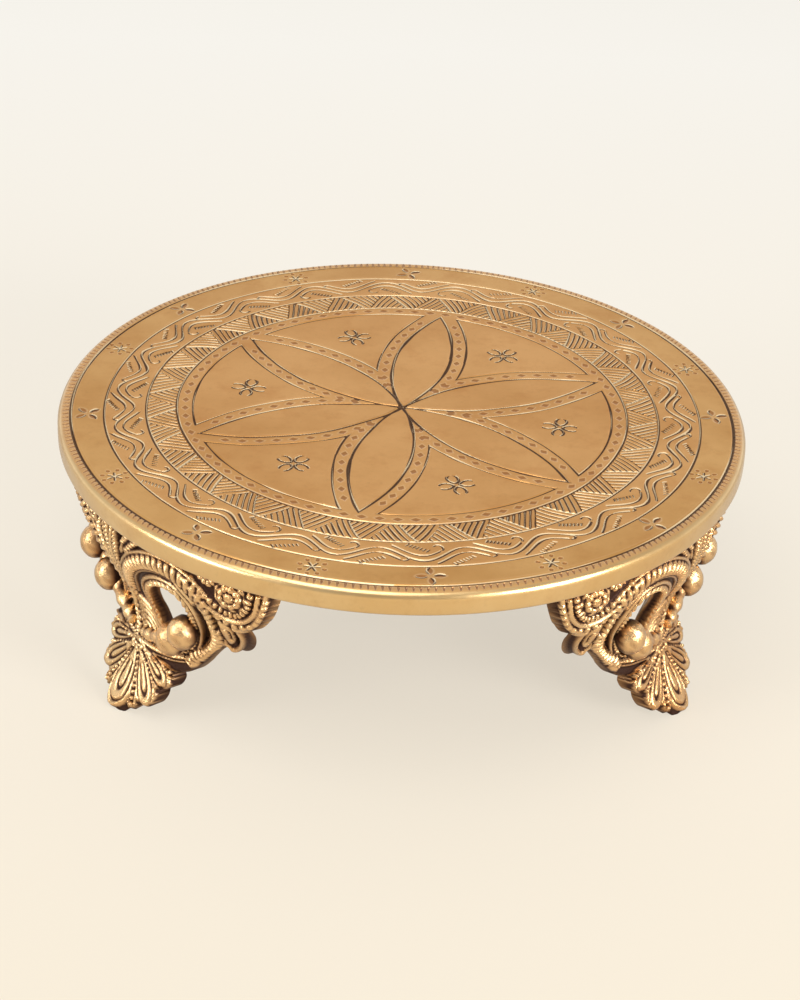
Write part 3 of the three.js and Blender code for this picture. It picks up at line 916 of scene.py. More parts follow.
# %% [markdown]
# ## Relief of a leg
# The ornament is built as a goldsmith builds it: rods, rows of beads, domed leaves and cut
# lines. Each needs only the distance from a drawn line and the length along it. The highest
# shape wins at each point, and cut lines are taken off at the end. The sizes that the shapes
# are given are in millimetres.

# %% Rods, beads, leaves and cut lines
nowhere = 9
between_ribs = 0.25
leaf_widest, leaf_fullness = 1.7, 0.55
leaf_dome, leaf_flatness, leaf_root_rise = 3.2, 0.6, 0.75
leaf_loops, loop_round = ((0.64, 0.12, 0.92), (0.26, 0.3, 0.74)), 0.14


def round_section(share):
    """Height of a half circle at a share of its radius: the root of one minus its square."""
    return np.sqrt(held(1 - share**2))


def pulses(count):
    """One round pulse for each whole number: the root of half a sine wave."""
    return np.sqrt(np.abs(np.sin(math.pi * count)))


class Relief:
    """Height above the wall on the leg's grid, and where it is cut."""

    def __init__(self, across, height):
        self.along_wall = np.abs(unrolled(across, height))
        self.up = height
        self.rise, self.cut = np.zeros((2, *across.shape))

    def near(self, shares):
        """Signed distance from a smooth line through the shares, positive on its left, and the
        length along it, both measured on the unrolled wall."""
        line = smooth(drawn(shares), 7)
        line = np.stack([unrolled(line[:, 0], line[:, 1]), line[:, 1]], axis=1)
        distance, along, _, _, side = nearest(self.along_wall, self.up, line, closed=False)
        return distance * side, along

    def away(self, share):
        """Distances along the wall and up from one place of the drawing."""
        place_x, place_z = drawn(share)
        return self.along_wall - unrolled(place_x, place_z), self.up - place_z

    def raise_to(self, rise):
        """The relief keeps the larger of what it has and the given rise."""
        self.rise = np.maximum(self.rise, rise)

    def rod(self, distance, rod):
        """A rod of elliptic section, sunk to its middle, beside a line at its own offset."""
        offset, radius, rise = rod
        self.raise_to(rise * round_section((distance - offset) / radius))

    def ribbed_rod(self, distance, along, rod):
        """A rod with cross ribs: a pulse swells each rib, a pitch long, and leaves a narrow
        deep groove before the next."""
        radius, rise, pitch, slant = rod
        swelling = between_ribs + (1 - between_ribs) * pulses((along + slant * distance) / pitch)
        self.raise_to(rise * swelling * round_section(distance / radius))

    def ribbed_line(self, shares, rod):
        """A ribbed rod along a drawn line. It gives back the signed distance from the line."""
        distance, along = self.near(shares)
        self.ribbed_rod(distance, along, rod)
        return distance

    def teeth(self, distance, along):
        """A band of upright teeth with round tops: a rounded section across times pulses."""
        section = held(1 - (distance / teeth_half_width) ** 4)
        self.raise_to(teeth_rise * section * pulses(along / teeth_pitch))

    def groove(self, distance, half_width, depth):
        """A V cut along distance zero: depth times one minus distance over half width."""
        self.cut = np.maximum(self.cut, depth * held(1 - np.abs(distance) / half_width))

    def leaf(self, root, tip, half_width, rise):
        """A flat-topped leaf from root to tip, widest two thirds of the way down, with one loop
        cut inside its edge and a second inside that."""
        length = math.hypot(tip[0] - root[0], tip[1] - root[1])
        heading = math.atan2(tip[1] - root[1], tip[0] - root[0])
        along, off = turned(self.along_wall - root[0], self.up - root[1], heading)
        share = along / length
        inside = np.clip(share, 0.001, 0.999)
        width = half_width * np.sin(math.pi * inside**leaf_widest) ** leaf_fullness
        reach = np.clip(np.abs(off) / np.maximum(width, 0.05), 0, 2)
        on_leaf = (share > 0) & (share < 1)
        dome = held(leaf_dome * (1 - reach)) ** leaf_flatness
        dome = dome * (leaf_root_rise + (1 - leaf_root_rise) * inside)
        self.raise_to(np.where(on_leaf, rise * dome, 0))
        for side, first, end in leaf_loops:
            round_end = np.clip((share - end + loop_round) / loop_round, 0, 2)
            loop = (np.hypot(reach / side, round_end) - 1) * side * width
            self.groove(np.where(on_leaf & (share > first), loop, nowhere), *leaf_groove)


# %% [markdown]
# The drawing follows the photographed leg: a ribbed arch over each opening, a smooth band and
# beads round it, a double rim with an eye at the wing's end, two strands that cross on the
# middle, a beaded band over the foot, and a palmette of five leaves with beads between them.

# %% Lines of the ornament, as shares
arch_line = (
    (0.032, 0.591), (0.128, 0.714), (0.245, 0.806), (0.383, 0.857), (0.532, 0.862), (0.649, 0.816),
    (0.686, 0.734), (0.665, 0.642), (0.606, 0.54), (0.5, 0.438), (0.404, 0.376),
)
wing_rim_line = (
    (0.585, 0.867), (0.69, 0.791), (0.782, 0.751), (0.866, 0.763), (0.93, 0.825), (0.949, 0.904),
)
wing_top_line = ((0.63, 0.94), (0.71, 0.89), (0.76, 0.93))
tongue_line = (
    (0.715, 0.72), (0.69, 0.64), (0.695, 0.575), (0.73, 0.58), (0.765, 0.63), (0.77, 0.7),
)
tongue_hook_line = ((0.712, 0.675), (0.75, 0.67), (0.735, 0.615))
lower_band_line = ((0.0, 0.29), (0.1, 0.3), (0.2, 0.315), (0.3, 0.338), (0.4, 0.372))
strand_lines = (
    ((0.11, 0.97), (0.07, 0.8), (0.022, 0.635), (0.0, 0.575)),
    ((0.0, 0.575), (0.04, 0.49), (0.05, 0.41), (0.02, 0.32)),
)
ridge_line = ((0.0, 0.59), (0.0, 0.75), (0.0, 0.96))
upper_leaf_line = ((0.17, 0.83), (0.26, 0.9), (0.38, 0.945), (0.53, 0.95))
pit_corners = ((0.055, 0.93), (0.165, 0.93), (0.105, 0.79))
eye_share = (0.824, 0.866)
scroll_share = (0.235, 0.355)
palmette_ribs = (
    ((0.015, 0.265), (0.07425, 0.1575), (0.135, 0.05)),
    ((0.015, 0.265), (0.1441, 0.2125), (0.262, 0.16)),
    ((0.015, 0.265), (0.1705, 0.26), (0.31, 0.255)),
)


# %% [markdown]
# Every rod has its name and its sizes in one place. A ribbed rod has a radius, a rise, the pitch
# of its ribs and their slant. A smooth rod has its offset from the line it follows, a radius and
# a rise. A groove has a half width and a depth, and a leaf its root, tip, half width and rise.

# %% Sizes of the ornament, in millimetres
arch_rod, opening_rod = (3.1, 2.9, 2.75, 0.3), (1.55, 2.2, 2.15, 0.9)
lower_band_rod, ridge_rod = (1.35, 2.3, 1.9, 1.0), (1.1, 2.3, 1.7, 0.0)
strand_rod, strand_edge_rod = (1.6, 2.6, 1.8, 0.9), (1.2, 1.9, 1.8, -0.9)
upper_leaf_rod, wing_top_rod = (1.5, 1.7, 1.9, 0.6), (1.6, 1.8, 1.8, 0.0)
opening_rod_offset, strand_gap, upper_leaf_gap = 1.75, 3.0, 3.2
arch_outer, arch_inner, opening_outer = (3.6, 0.75, 1.7), (-3.5, 0.6, 1.2), (4.15, 0.9, 1.7)
lower_band_edge, outline_rod, tongue_rod = (2.0, 0.5, 1.3), (1.5, 0.95, 1.6), (0, 3.1, 2.1)
rim_rod, rim_lower_rod, collar_rib = (0, 1.15, 2.4), (-5.1, 0.9, 1.8), (0, 1.25, 2.0)
scroll_ring, scroll_bead = (2.4, 0.9, 2.2), (0, 1.2, 1.9)
palmette_bead, palmette_edge = (0, 0.95, 2.6), (1.5, 0.42, 2.1)
outline_from, outline_to, outline_clear = 0.4, 0.93, 6
teeth_half_width, teeth_pitch, teeth_rise, teeth_rows = 1.5, 2.5, 2.1, (-2.75, 2.7)
tongue_dome, pit_slope, pit_deepest = 3, 2.2, 3.0
eye_radius, eye_rise, eye_petals, eye_petal_rise, eye_petal_from = 6.4, 2.9, 9, 0.45, 2
eye_grooves = ((2.1, 0.65, 1.2), (4.7, 0.55, 1.0), (0, 0.5, 0.6))
leaf_groove, tongue_groove, hook_groove = (0.6, 1.2), (0.8, 1.5), (0.7, 1.4)
bead_pitch, collar_step, collar_first, collar_ribs = 2.0, 2.7, 5.2, 7
collar_root, collar_low_angle, collar_high_angle = (0, 0.285), 8, 62
root_z = 0.275 * leg_height
leaves = (((0, root_z), (0, 0.0), 7.4, 2.5), ((1.2, root_z), (18.2, 6.2), 5.6, 2.3),
          ((2.0, root_z + 1.0), (23.6, 17.0), 4.7, 2.1))


def ornament(across, height, depth):
    """The relief of a whole leg on its grid, from the ground level up."""
    relief = Relief(across, height)
    half = np.abs(across)
    arch = relief.ribbed_line(arch_line, arch_rod)
    relief.rod(arch, arch_outer)
    relief.rod(arch, arch_inner)
    to_opening, opening_run = nearest(half, height, opening)[:2]
    relief.ribbed_rod(to_opening - opening_rod_offset, opening_run, opening_rod)
    relief.rod(to_opening, opening_outer)
    lower_band = relief.ribbed_line(lower_band_line, lower_band_rod)
    relief.rod(np.abs(lower_band), lower_band_edge)
    for line in strand_lines:
        strand, run = relief.near(line)
        relief.ribbed_rod(strand, run, strand_rod)
        relief.ribbed_rod(strand + strand_gap, run, strand_edge_rod)
    relief.ribbed_line(ridge_line, ridge_rod)
    leaf, run = relief.near(upper_leaf_line)
    for shift in (0, upper_leaf_gap):
        relief.ribbed_rod(leaf - shift, run, upper_leaf_rod)
    wing(relief, half, height)
    border = (half > outline_from * half_span) & (height < outline_to * leg_height)
    relief.rod(np.where(border & (to_opening > outline_clear), depth, nowhere), outline_rod)
    eye(relief)
    scroll_and_collar(relief)
    palmette(relief)
    pit = np.clip(nearest(half, height, drawn(pit_corners))[0] * pit_slope, 0, pit_deepest)
    relief.cut = np.maximum(relief.cut, pit * within(half, height, drawn(pit_corners)))
    return relief


def wing(relief, half, height):
    """The wing's end: two bands of teeth between smooth rims, and the hooked tongue below."""
    rim, run = relief.near(wing_rim_line)
    relief.rod(rim, rim_rod)
    relief.rod(rim, rim_lower_rod)
    for row in teeth_rows:
        relief.teeth(rim - row, run)
    relief.ribbed_line(wing_top_line, wing_top_rod)
    border = smooth(drawn(tongue_line), 6, closed=True)
    in_tongue = nearest(half, height, border)[0]
    inside = within(half, height, border)
    from_dome = np.clip(tongue_dome - in_tongue, 0, tongue_dome)
    relief.rod(np.where(inside, from_dome, nowhere), tongue_rod)
    relief.groove(in_tongue, *tongue_groove)
    relief.groove(relief.near(tongue_hook_line)[0], *hook_groove)


def eye(relief):
    """The carved boss at the wing's end: a dome with a ring of nine petals round a bead."""
    away_x, away_z = relief.away(eye_share)
    reach = np.hypot(away_x, away_z)
    petals = np.cos(eye_petals * np.arctan2(away_z, away_x)) * held(reach / eye_petal_from)
    relief.raise_to((eye_rise + eye_petal_rise * petals) * round_section(reach / eye_radius))
    for ring, half_width, deep in eye_grooves:
        relief.groove(reach - ring, half_width, deep)


def scroll_and_collar(relief):
    """A ring with a bead in it, where the stalk leaves the foot, and curved ribs above the
    foot: arcs about the palmette's root at even steps."""
    reach = np.hypot(*relief.away(scroll_share))
    relief.rod(reach, scroll_ring)
    relief.rod(reach, scroll_bead)
    away_x, away_z = relief.away(collar_root)
    angle = np.degrees(np.arctan2(away_x, away_z))
    reach = np.hypot(away_x, away_z) - collar_first
    ribs = np.where((angle > collar_low_angle) & (angle < collar_high_angle), reach, -nowhere)
    for rib in range(collar_ribs):
        relief.rod(ribs - collar_step * rib, collar_rib)


def palmette(relief):
    """Five leaves from one root, and rows of beads between raised lines on the ribs between
    them. A bead is a round section of the distance from its middle."""
    for leaf in leaves:
        relief.leaf(*leaf)
    for line in palmette_ribs:
        rib, run = relief.near(line)
        relief.rod(np.hypot(rib, from_nearest(run, bead_pitch)), palmette_bead)
        relief.rod(np.abs(rib), palmette_edge)


relief = ornament(across, height, depth)
print("relief up to", round(float(relief.rise.max()), 2), "mm")

# %% [markdown]
# Casting softens everything a little and patina gathers where rubbing can't reach. Both follow
# from blurring the height map: a small blur rounds it, and the difference between a wide blur
# and the height itself tells hollows from high places.

# %% Softening and patina
edge_round = 1.3
ground_level = -0.8


def blurred(grid, times):
    """The grid after so many rounds of averaging each point with its four neighbours."""
    for _ in range(times):
        padded = np.pad(grid, 1, mode="edge")
        grid = (2 * grid + padded[:-2, 1:-1] + padded[2:, 1:-1]
                + padded[1:-1, :-2] + padded[1:-1, 2:]) / 6
    return grid


edge_drop = edge_round - np.sqrt(edge_round**2 - np.clip(edge_round - depth, 0, edge_round) ** 2)
front_rise = ground_level + relief.rise - relief.cut
front_rise = 0.5 * (front_rise + blurred(front_rise, 1)) - edge_drop
front_rise = np.where(height > 0.945 * leg_height, np.minimum(front_rise, 0.2), front_rise)
hollow_share = held((blurred(front_rise, 24) - front_rise) / 0.42 + 0.1)
low_share = held((0.5 - front_rise) / 1.1)
leg_wax = held(0.9 * hollow_share + 0.75 * low_share) * (0.65 + 0.35 * held(depth / 1.2))
print("mean patina", round(float(leg_wax.mean()), 2))

# %% [markdown]
# The front is bent onto the wall: a point's angle is the arc sine of its place across over the
# wall's radius, and its relief stands out along the wall's normal. The back is the same sheet one
# wall thickness further in, and a strip of squares joins the two along every border.

# %% Shell of a leg
wing_thinner, wing_from, wing_over = 2.0, 36, 18
opening_thinner, hollow_from, hollow_bottom, hollow_top = 2.4, 6, 26, 76
hollow_fade, hollow_top_fade = 10, 8
fine_grain, broad_grain = 0.1, 0.12
back_bevel, bevel_bend = 0.8, 1.3
back_wax_mean, back_wax_change = 0.35, 0.3


def on_wall(across, height, lift):
    """Points of the leg's frame: on the wall and lifted along its outward normal, which tips
    with the wall's slope."""
    radius = wall_radius(height)
    angle = np.arcsin(np.clip(across / radius, -1, 1))
    slope = (wall_radius(height + 0.05) - wall_radius(height - 0.05)) / 0.1
    length = np.sqrt(1 + slope**2)
    reach = radius + lift / length
    up = np.clip(height - lift * slope / length, 0, leg_height)
    return np.stack([reach * np.cos(angle), reach * np.sin(angle), up], axis=-1)


def leg_shell():
    """Points, quads and patina of the closed casting: front, back and the strip between. The
    wall gets thinner towards the wings' ends, and its back is hollowed round the openings."""
    front = on_wall(across, height, front_rise).reshape(-1, 3)
    half = np.abs(across)
    grain = fine_grain * wander(across, height, 6, 61)
    grain = grain + broad_grain * wander(across, height, 17, 62)
    hollowed = held((half - hollow_from) / hollow_fade)
    hollowed = hollowed * held((height - hollow_bottom) / hollow_fade)
    hollowed = opening_thinner * (hollowed * held((hollow_top - height) / hollow_top_fade))
    thinner = np.maximum(wing_thinner * held((half - wing_from) / wing_over), hollowed)
    back_radius = wall_radius(height) - wall + thinner + grain * held(depth / 2)
    back_radius = back_radius + np.clip(back_bevel - depth, 0, back_bevel) ** 2 / bevel_bend
    back_x = np.sqrt(np.clip(back_radius**2 - across**2, 1, None))
    back = np.stack([back_x, across, height], axis=-1).reshape(-1, 3)
    count = len(front)
    edges = np.stack([squares, np.roll(squares, -1, axis=1)], axis=-1).reshape(-1, 2)
    low, high = edges.min(axis=1), edges.max(axis=1)
    _, first, times = np.unique(low * count + high, return_index=True, return_counts=True)
    start, stop = edges[first[times == 1]].T
    strip = np.stack([stop, start, start + count, stop + count], axis=1)
    quads = np.concatenate([squares, squares[:, ::-1] + count, strip])
    back_wax = held(back_wax_mean + back_wax_change * wander(across, height, 25, 63))
    wax = np.concatenate([leg_wax.ravel(), back_wax.ravel()])
    used, renumbered = np.unique(quads, return_inverse=True)
    return np.concatenate([front, back])[used], renumbered.reshape(quads.shape), wax[used]


# %% [markdown]
# ## Berries and stalks
# Two heavy berries stand proud in each opening on a stalk that grows out of the foot. They are
# undercut, so they are shapes of their own: a berry is a square grid folded onto a ball, and a
# stalk is a profile carried along a path.

# %% Berries and stalks
berry_shares = ((0.458, 0.567), (0.324, 0.462))
berry_half_sizes = (5.6, 6.6, 5.7)
berry_lift = 3.6
berry_cells = 30
ball_share, egg_point, berry_uneven = 0.96, 0.1, 0.015
root_dirt, root_dirt_from, root_dirt_over = 0.85, 1.2, 0.7
lower_darkening, lower_darkening_from, dent_dirt = 0.4, 0.2, 0.2
stalk_shares = ((0.053, 0.346), (0.16, 0.376), (0.319, 0.443), (0.447, 0.55))
stalk_sides = 20
stalk_radius, stalk_growth, stalk_ring, ring_count = 2.0, 1.7, 0.35, 5
stalk_end, stalk_end_share = 0.05, 0.35
stalk_dirt, behind_dirt, ring_dirt = 0.15, 0.75, 0.7
straight_up = np.array([0, 0, 1.0])
level_only = np.array([1, 1, 0])


def ladder(ring):
    """Quads that close a ring of an even number of points, like the rungs of a ladder: each
    takes one step on the first half of the ring and the opposite step on the second half."""
    near, far = ring[: len(ring) // 2], ring[::-1][: len(ring) // 2]
    return np.stack([near[:-1], near[1:], far[1:], far[:-1]], axis=1)


def tube_faces(sections, sides):
    """The quads of a tube of closed sections, with a ladder across each end."""
    first = np.arange(sides)
    last = sides * (sections - 1) + first
    return np.concatenate([grid_faces(sections, sides, True), ladder(first), ladder(last[::-1])])


def berry(share, side):
    """An egg: the folded grid's radius becomes the angle from the egg's outer pole, nearly up
    to half a turn, and a small cap closes the rest. It is taller than wide, most above."""
    across, height = drawn(share)
    centre = on_wall(np.array(side * across), np.array(height), berry_lift)
    flat_x, flat_y = disc_grid(1.0, berry_cells)
    reach = np.hypot(flat_x, flat_y)
    polar = reach * ball_share * math.pi
    safe = np.where(reach == 0, 1, reach)
    level_x, level_y = flat_x / safe, flat_y / safe
    outward = unit(centre * level_only)
    aside = np.cross(straight_up, outward)
    egg = 1 - egg_point * level_y * np.sin(polar)
    wide, tall, deep = berry_half_sizes
    direction = (np.cos(polar)[..., None] * outward * deep
                 + (np.sin(polar) * level_x * egg)[..., None] * aside * wide
                 + (np.sin(polar) * level_y)[..., None] * straight_up * tall)
    uneven = wander(level_x * polar * wide, level_y * polar * tall, 4, 71)
    points = centre + direction * (1 + berry_uneven * uneven)[..., None]
    # The berry is darker near its root and in its dents, where patina gathers, and darker towards the
    # bottom.
    below = held(-direction[..., 2] / tall - lower_darkening_from)
    darkening = root_dirt * held((polar - root_dirt_from) / root_dirt_over)
    darkening = darkening + lower_darkening * below + dent_dirt * held(-uneven)
    numbers = np.arange((berry_cells + 1) ** 2).reshape(berry_cells + 1, berry_cells + 1)
    border = np.concatenate([numbers[:-1, 0], numbers[-1, :-1], numbers[:0:-1, -1], numbers[0, :0:-1]])
    quads = grid_faces(berry_cells + 1, berry_cells + 1, False)[:, ::-1]
    return points.reshape(-1, 3), np.concatenate([quads, ladder(border)]), darkening.ravel()


def stalk(side):
    """A round stalk with rings: a circle whose radius swells towards the berries and pulses
    five times, carried along the line, with the wall's outward direction as its second axis."""
    line = smooth(drawn(stalk_shares), 12)
    middle = on_wall(side * line[:, 0], line[:, 1], np.full(len(line), berry_lift / 2))
    outward = unit(middle * level_only)
    aside = unit(np.cross(unit(np.gradient(middle, axis=0)), outward))
    share = np.linspace(0, 1, len(line))
    rings = np.cos(ring_count * math.tau * share)
    radius = stalk_radius + stalk_growth * share + stalk_ring * rings
    radius *= held(np.minimum(share, 1 - share) / stalk_end + stalk_end_share)
    turn = np.linspace(0, math.tau, stalk_sides, endpoint=False)[None, :, None]
    section = np.cos(turn) * outward[:, None] + np.sin(turn) * aside[:, None]
    points = middle[:, None] + radius[:, None, None] * section
    darkening = held(stalk_dirt - behind_dirt * np.cos(turn[..., 0]) - ring_dirt * rings[:, None])
    return points.reshape(-1, 3), tube_faces(len(line), stalk_sides), darkening.ravel()


# %% [markdown]
# ## Lugs
# Behind each wing a tongue is cast on, through which a screw goes up into the plate. It is a
# flat bar with a round end, so the sections across it are rectangles whose width follows half
# an ellipse near the end.

# %% Lugs
lug_radius = leg_top_radius - wall - 12.5
lug_angle = math.asin((half_span - 23) / leg_top_radius)
lug_top = leg_height - boss_height
lug_thickness, lug_half_width, lug_bevel = 4, 7, 0.5
lug_end_angle, lug_dirt = 0.05, 0.4


def turned_about(points, angle):
    """Points turned about the table's axis."""
    x, y = turned(points[:, 0], points[:, 1], -angle)
    return np.stack([x, y, points[:, 2]], axis=1)


def lug(side):
    """Sections along the tongue from the wall inwards. Past the screw the half width is the
    root of the squared radius less the squared distance from the screw."""
    turn = np.linspace(0, math.pi / 2 - lug_end_angle, 14)
    inwards = np.append(leg_top_radius - wall / 2, lug_radius - lug_half_width * np.sin(turn))
    half = np.append(lug_half_width, lug_half_width * np.cos(turn))
    low, high = lug_top - lug_thickness, lug_top
    out = np.stack([half - lug_bevel, half, half, half - lug_bevel], axis=1)
    level = np.array([low, low + lug_bevel, high - lug_bevel, high])
    aside = np.clip(np.concatenate([out, -out[:, ::-1]], axis=1), -half[:, None], half[:, None])
    up = np.concatenate([level, level[::-1]])
    points = np.stack(np.broadcast_arrays(inwards[:, None], aside, up), axis=-1)
    points = turned_about(points.reshape(-1, 3), side * lug_angle)
    return points, tube_faces(len(inwards), len(up)), np.full(len(points), lug_dirt)


# %% [markdown]
# A mirrored pair of berries, stalks and lugs joins the shell, and the whole casting is then
# turned to each leg's place round the table. One mesh is worked out and three are made.

# %% Three castings
leg_azimuths = {"leg_front_right": 63.5, "leg_back": 183.5, "leg_front_left": -56.5}
sharp_leg = 60


def joined(parts):
    """Several sets of points, quads and patina as one, with the quads renumbered."""
    points, quads, wax = zip(*parts)
    firsts = np.cumsum([0] + [len(each) for each in points[:-1]])
    quads = [each + first for each, first in zip(quads, firsts)]
    return np.concatenate(points), np.concatenate(quads), np.concatenate(wax)


sides = (-1, 1)
points, quads, wax = joined([leg_shell()] + [berry(share, side) for share in berry_shares
                                             for side in sides]
                            + [make(side) for make in (stalk, lug) for side in sides])
legs = []
for node, azimuth in leg_azimuths.items():
    placed = turned_about(points, math.radians(azimuth - 90))
    made = (node + "_casting", placed, quads, {"patina": wax}, sharp_leg)
    legs.append(stand_in(node, "leg_brass", *made))

# %% [markdown]
# ## Finishes
# Brass here is one metal in several states: cut and waxed on top, brushed pale on the rim,
# rubbed on the legs' high places and dark in their hollows. Shader maths reads best as plain
# sums, so a small class wraps a node socket and turns each operator into one Math node.

# %% Shader sums
class Value:
    """A number that varies over a surface. Sums and products on it add Math nodes."""

    def __init__(self, finish, socket):
        self.finish = finish
        self.socket = socket

    def math(self, operation, first, second):
        """One Math node on two values or numbers."""
        settings = {"operation": operation}
        return self.finish.node("ShaderNodeMath", settings, {0: first, 1: second})

    def __add__(self, other):
        return self.math("ADD", self, other)

    def __sub__(self, other):
        return self.math("SUBTRACT", self, other)

    def __rsub__(self, other):
        return self.math("SUBTRACT", other, self)

    def __mul__(self, other):
        return self.math("MULTIPLY", self, other)

    __radd__ = __add__
    __rmul__ = __mul__

    def clamped(self):
        """The value held between zero and one."""
        return self.math("MINIMUM", self.math("MAXIMUM", self, 0.0), 1.0)


class Finish:
    """A material or a world being put together. Its node method adds any node by type."""

    def __init__(self, owner, coordinates="Object", output="ShaderNodeOutputMaterial"):
        owner.use_nodes = True
        self.owner = owner
        self.output = output
        self.tree = owner.node_tree
        self.tree.nodes.clear()
        self.place = self.node("ShaderNodeTexCoord", output=coordinates)

    def node(self, kind, settings=None, inputs=None, output=0):
        """A new node: its settings first, then a value or a link for each named socket. A
        colour ramp's settings are its stops, pairs of a place and a grey or a colour."""
        made = self.tree.nodes.new(kind)
        for key, value in (settings or {}).items():
            if key == "stops":
                elements = made.color_ramp.elements
                for index, (place, colour) in enumerate(value):
                    stop = elements[index] if index < 2 else elements.new(place)
                    stop.position, stop.color = place, colour
            else:
                setattr(made, key, value)
        for key, value in (inputs or {}).items():
            if isinstance(value, Value):
                self.tree.links.new(value.socket, made.inputs[key])
            else:
                made.inputs[key].default_value = value
        return Value(self, made.outputs[output])

    def noise(self, per_metre, detail=3.0, roughness=0.55):
        """Noise on the piece's own place, with so many features to the metre."""
        inputs = {"Vector": self.place, "Scale": per_metre, "Detail": detail,
                  "Roughness": roughness}
        return self.node("ShaderNodeTexNoise", None, inputs)

    def attribute(self, name):
        """A coat that travels with the mesh."""
        return self.node("ShaderNodeAttribute", {"attribute_name": name}, None, "Fac")

    def ramp(self, value, low, high):
        """Zero below low, one above high and even in between."""
        stops = ((low, (0, 0, 0, 1)), (high, (1, 1, 1, 1)))
        return self.node("ShaderNodeValToRGB", {"stops": stops}, {0: value})

    def blend(self, amount, first, second):
        """The first colour, giving way to the second as the amount goes from zero to one."""
        return self.node("ShaderNodeMix", {"data_type": "RGBA"},
                         {0: amount, 6: first, 7: second}, output=2)

    def finish(self, colour, roughness, metallic, height=None, relief=0.0, lacquer=0.0):
        """The Principled shader with its varying inputs, a bump of the given relief in metres
        from the height, and a soft clear lacquer of the given weight."""
        inputs = {"Base Color": colour, "Roughness": roughness, "Metallic": metallic,
                  "Coat Weight": lacquer, "Coat Roughness": 0.22}
        if height is not None:
            inputs["Normal"] = self.node("ShaderNodeBump", None,
                                         {"Height": height, "Distance": relief, "Strength": 1.0})
        return self.show(self.node("ShaderNodeBsdfPrincipled", None, inputs))

    def show(self, shader):
        """The shader becomes what is seen."""
        output = self.tree.nodes.new(self.output)
        self.tree.links.new(shader.socket, output.inputs["Surface"])
        return self.owner


def coat_with(piece, material):
    """The material becomes the piece's only one."""
    piece.data.materials.clear()
    piece.data.materials.append(material)


# %% [markdown]
# ## Brass
# The colour of brass is the colour of its reflections, so it goes into Base Color with Metallic
# near one. Over it lies a thin uneven lacquer, redder in some places, and the dark wax in the
# hollows, which isn't metal: where patina is high the surface turns dark, rough and less
# metallic. Engraved lines are painted light on this brass: a dark line of wax and painted shade
# where a cut's wall is turned from the viewer, a painted highlight on the wall across from it,
# and brown pits with a painted highlight on their lip. Fine rubbing marks come from noise in a
# very shallow bump.

# %% Brass finishes
wax_colour = (0.055, 0.022, 0.013, 1)
pit_colour = (0.47, 0.2, 0.07, 1)
# Pale colour of the painted highlights on cut walls and on pit lips.
painted_glint_colour = (1.0, 0.82, 0.53, 1)
level_colour = (0.87, 0.48, 0.17, 1)
cloud_scale, speck_scale, stain_scale = 28, 420, 75
cloud_ramp, speck_ramp, stain_ramp = (0.36, 0.66), (0.56, 0.72), (0.5, 0.74)
line_ramp, pit_ramp, painted_lip_ramp = (0.6, 0.74), (0.5, 0.58), (0.3, 0.42)
stain_share, stain_tint = 0.35, (0.72, 0.58, 0.45)
halo_gain, halo_share, halo_tint = 1.2, 0.55, (0.62, 0.42, 0.3)
groove_dark, speck_dark, pit_share = 0.92, 0.06, 0.8
painted_glint_strength, painted_lip_strength = 0.72, 0.22
stain_rough, wax_rough, painted_shine_rough = 0.1, 0.3, 0.1
wax_dull, painted_shine_dull = 0.3, 0.35


def darker(colour, red, green, blue):
    """A colour with a share of each of its parts."""
    return (colour[0] * red, colour[1] * green, colour[2] * blue, 1)


def brass(name, bright, warm, gloss, wax_strength=1.0, grain=900, relief=0.00003, lacquer=0.0):
    """Brass between a bright and a warm colour, with wax where the patina says, and where the
    engraving says its pits, its dark lines of wax and painted shade and its painted highlights,
    and a roughness near the given one. Where the rim is still level with the top it has the top's
    colour."""
    finish = Finish(bpy.data.materials.new(name))
    cloud = finish.ramp(finish.noise(cloud_scale, 4), *cloud_ramp)
    speck = finish.ramp(finish.noise(speck_scale, 3, 0.7), *speck_ramp)
    stain = finish.ramp(finish.noise(stain_scale, 5, 0.65), *stain_ramp)
    metal = finish.blend(cloud, bright, warm)
    metal = finish.blend(finish.attribute("level"), metal, level_colour)
    metal = finish.blend(stain * stain_share, metal, darker(warm, *stain_tint))
    wax = finish.attribute("patina") * wax_strength
    # The groove line is dark wax and painted shade. The glint line and the pits' lip are painted
    # highlights, mixed in as a pale painted colour.
    groove = finish.ramp(finish.attribute("groove"), *line_ramp)
    glint = finish.ramp(finish.attribute("glint"), *line_ramp)
    near_pit = finish.attribute("pit")
    pit = finish.ramp(near_pit, *pit_ramp)
    painted_lip = finish.ramp(near_pit, *painted_lip_ramp) * (1.0 - pit)
    amount = (wax + groove * groove_dark + speck * speck_dark).clamped()
    painted_shine = (glint * painted_glint_strength + painted_lip * painted_lip_strength).clamped()
    halo = (wax * halo_gain).clamped() * halo_share
    colour = finish.blend(halo, metal, darker(warm, *halo_tint))
    colour = finish.blend(pit * pit_share, colour, pit_colour)
    colour = finish.blend(amount, colour, wax_colour)
    colour = finish.blend(painted_shine, colour, painted_glint_colour)
    roughness = gloss + stain_rough * (stain - 0.5) + wax_rough * amount + painted_shine_rough * painted_shine
    metallic = 1.0 - wax_dull * amount - painted_shine_dull * painted_shine
    film = (1.0 - amount) * lacquer
    grain = finish.noise(grain, 5, 0.7)
    return finish.finish(colour, roughness.clamped(), metallic, grain, relief, film)


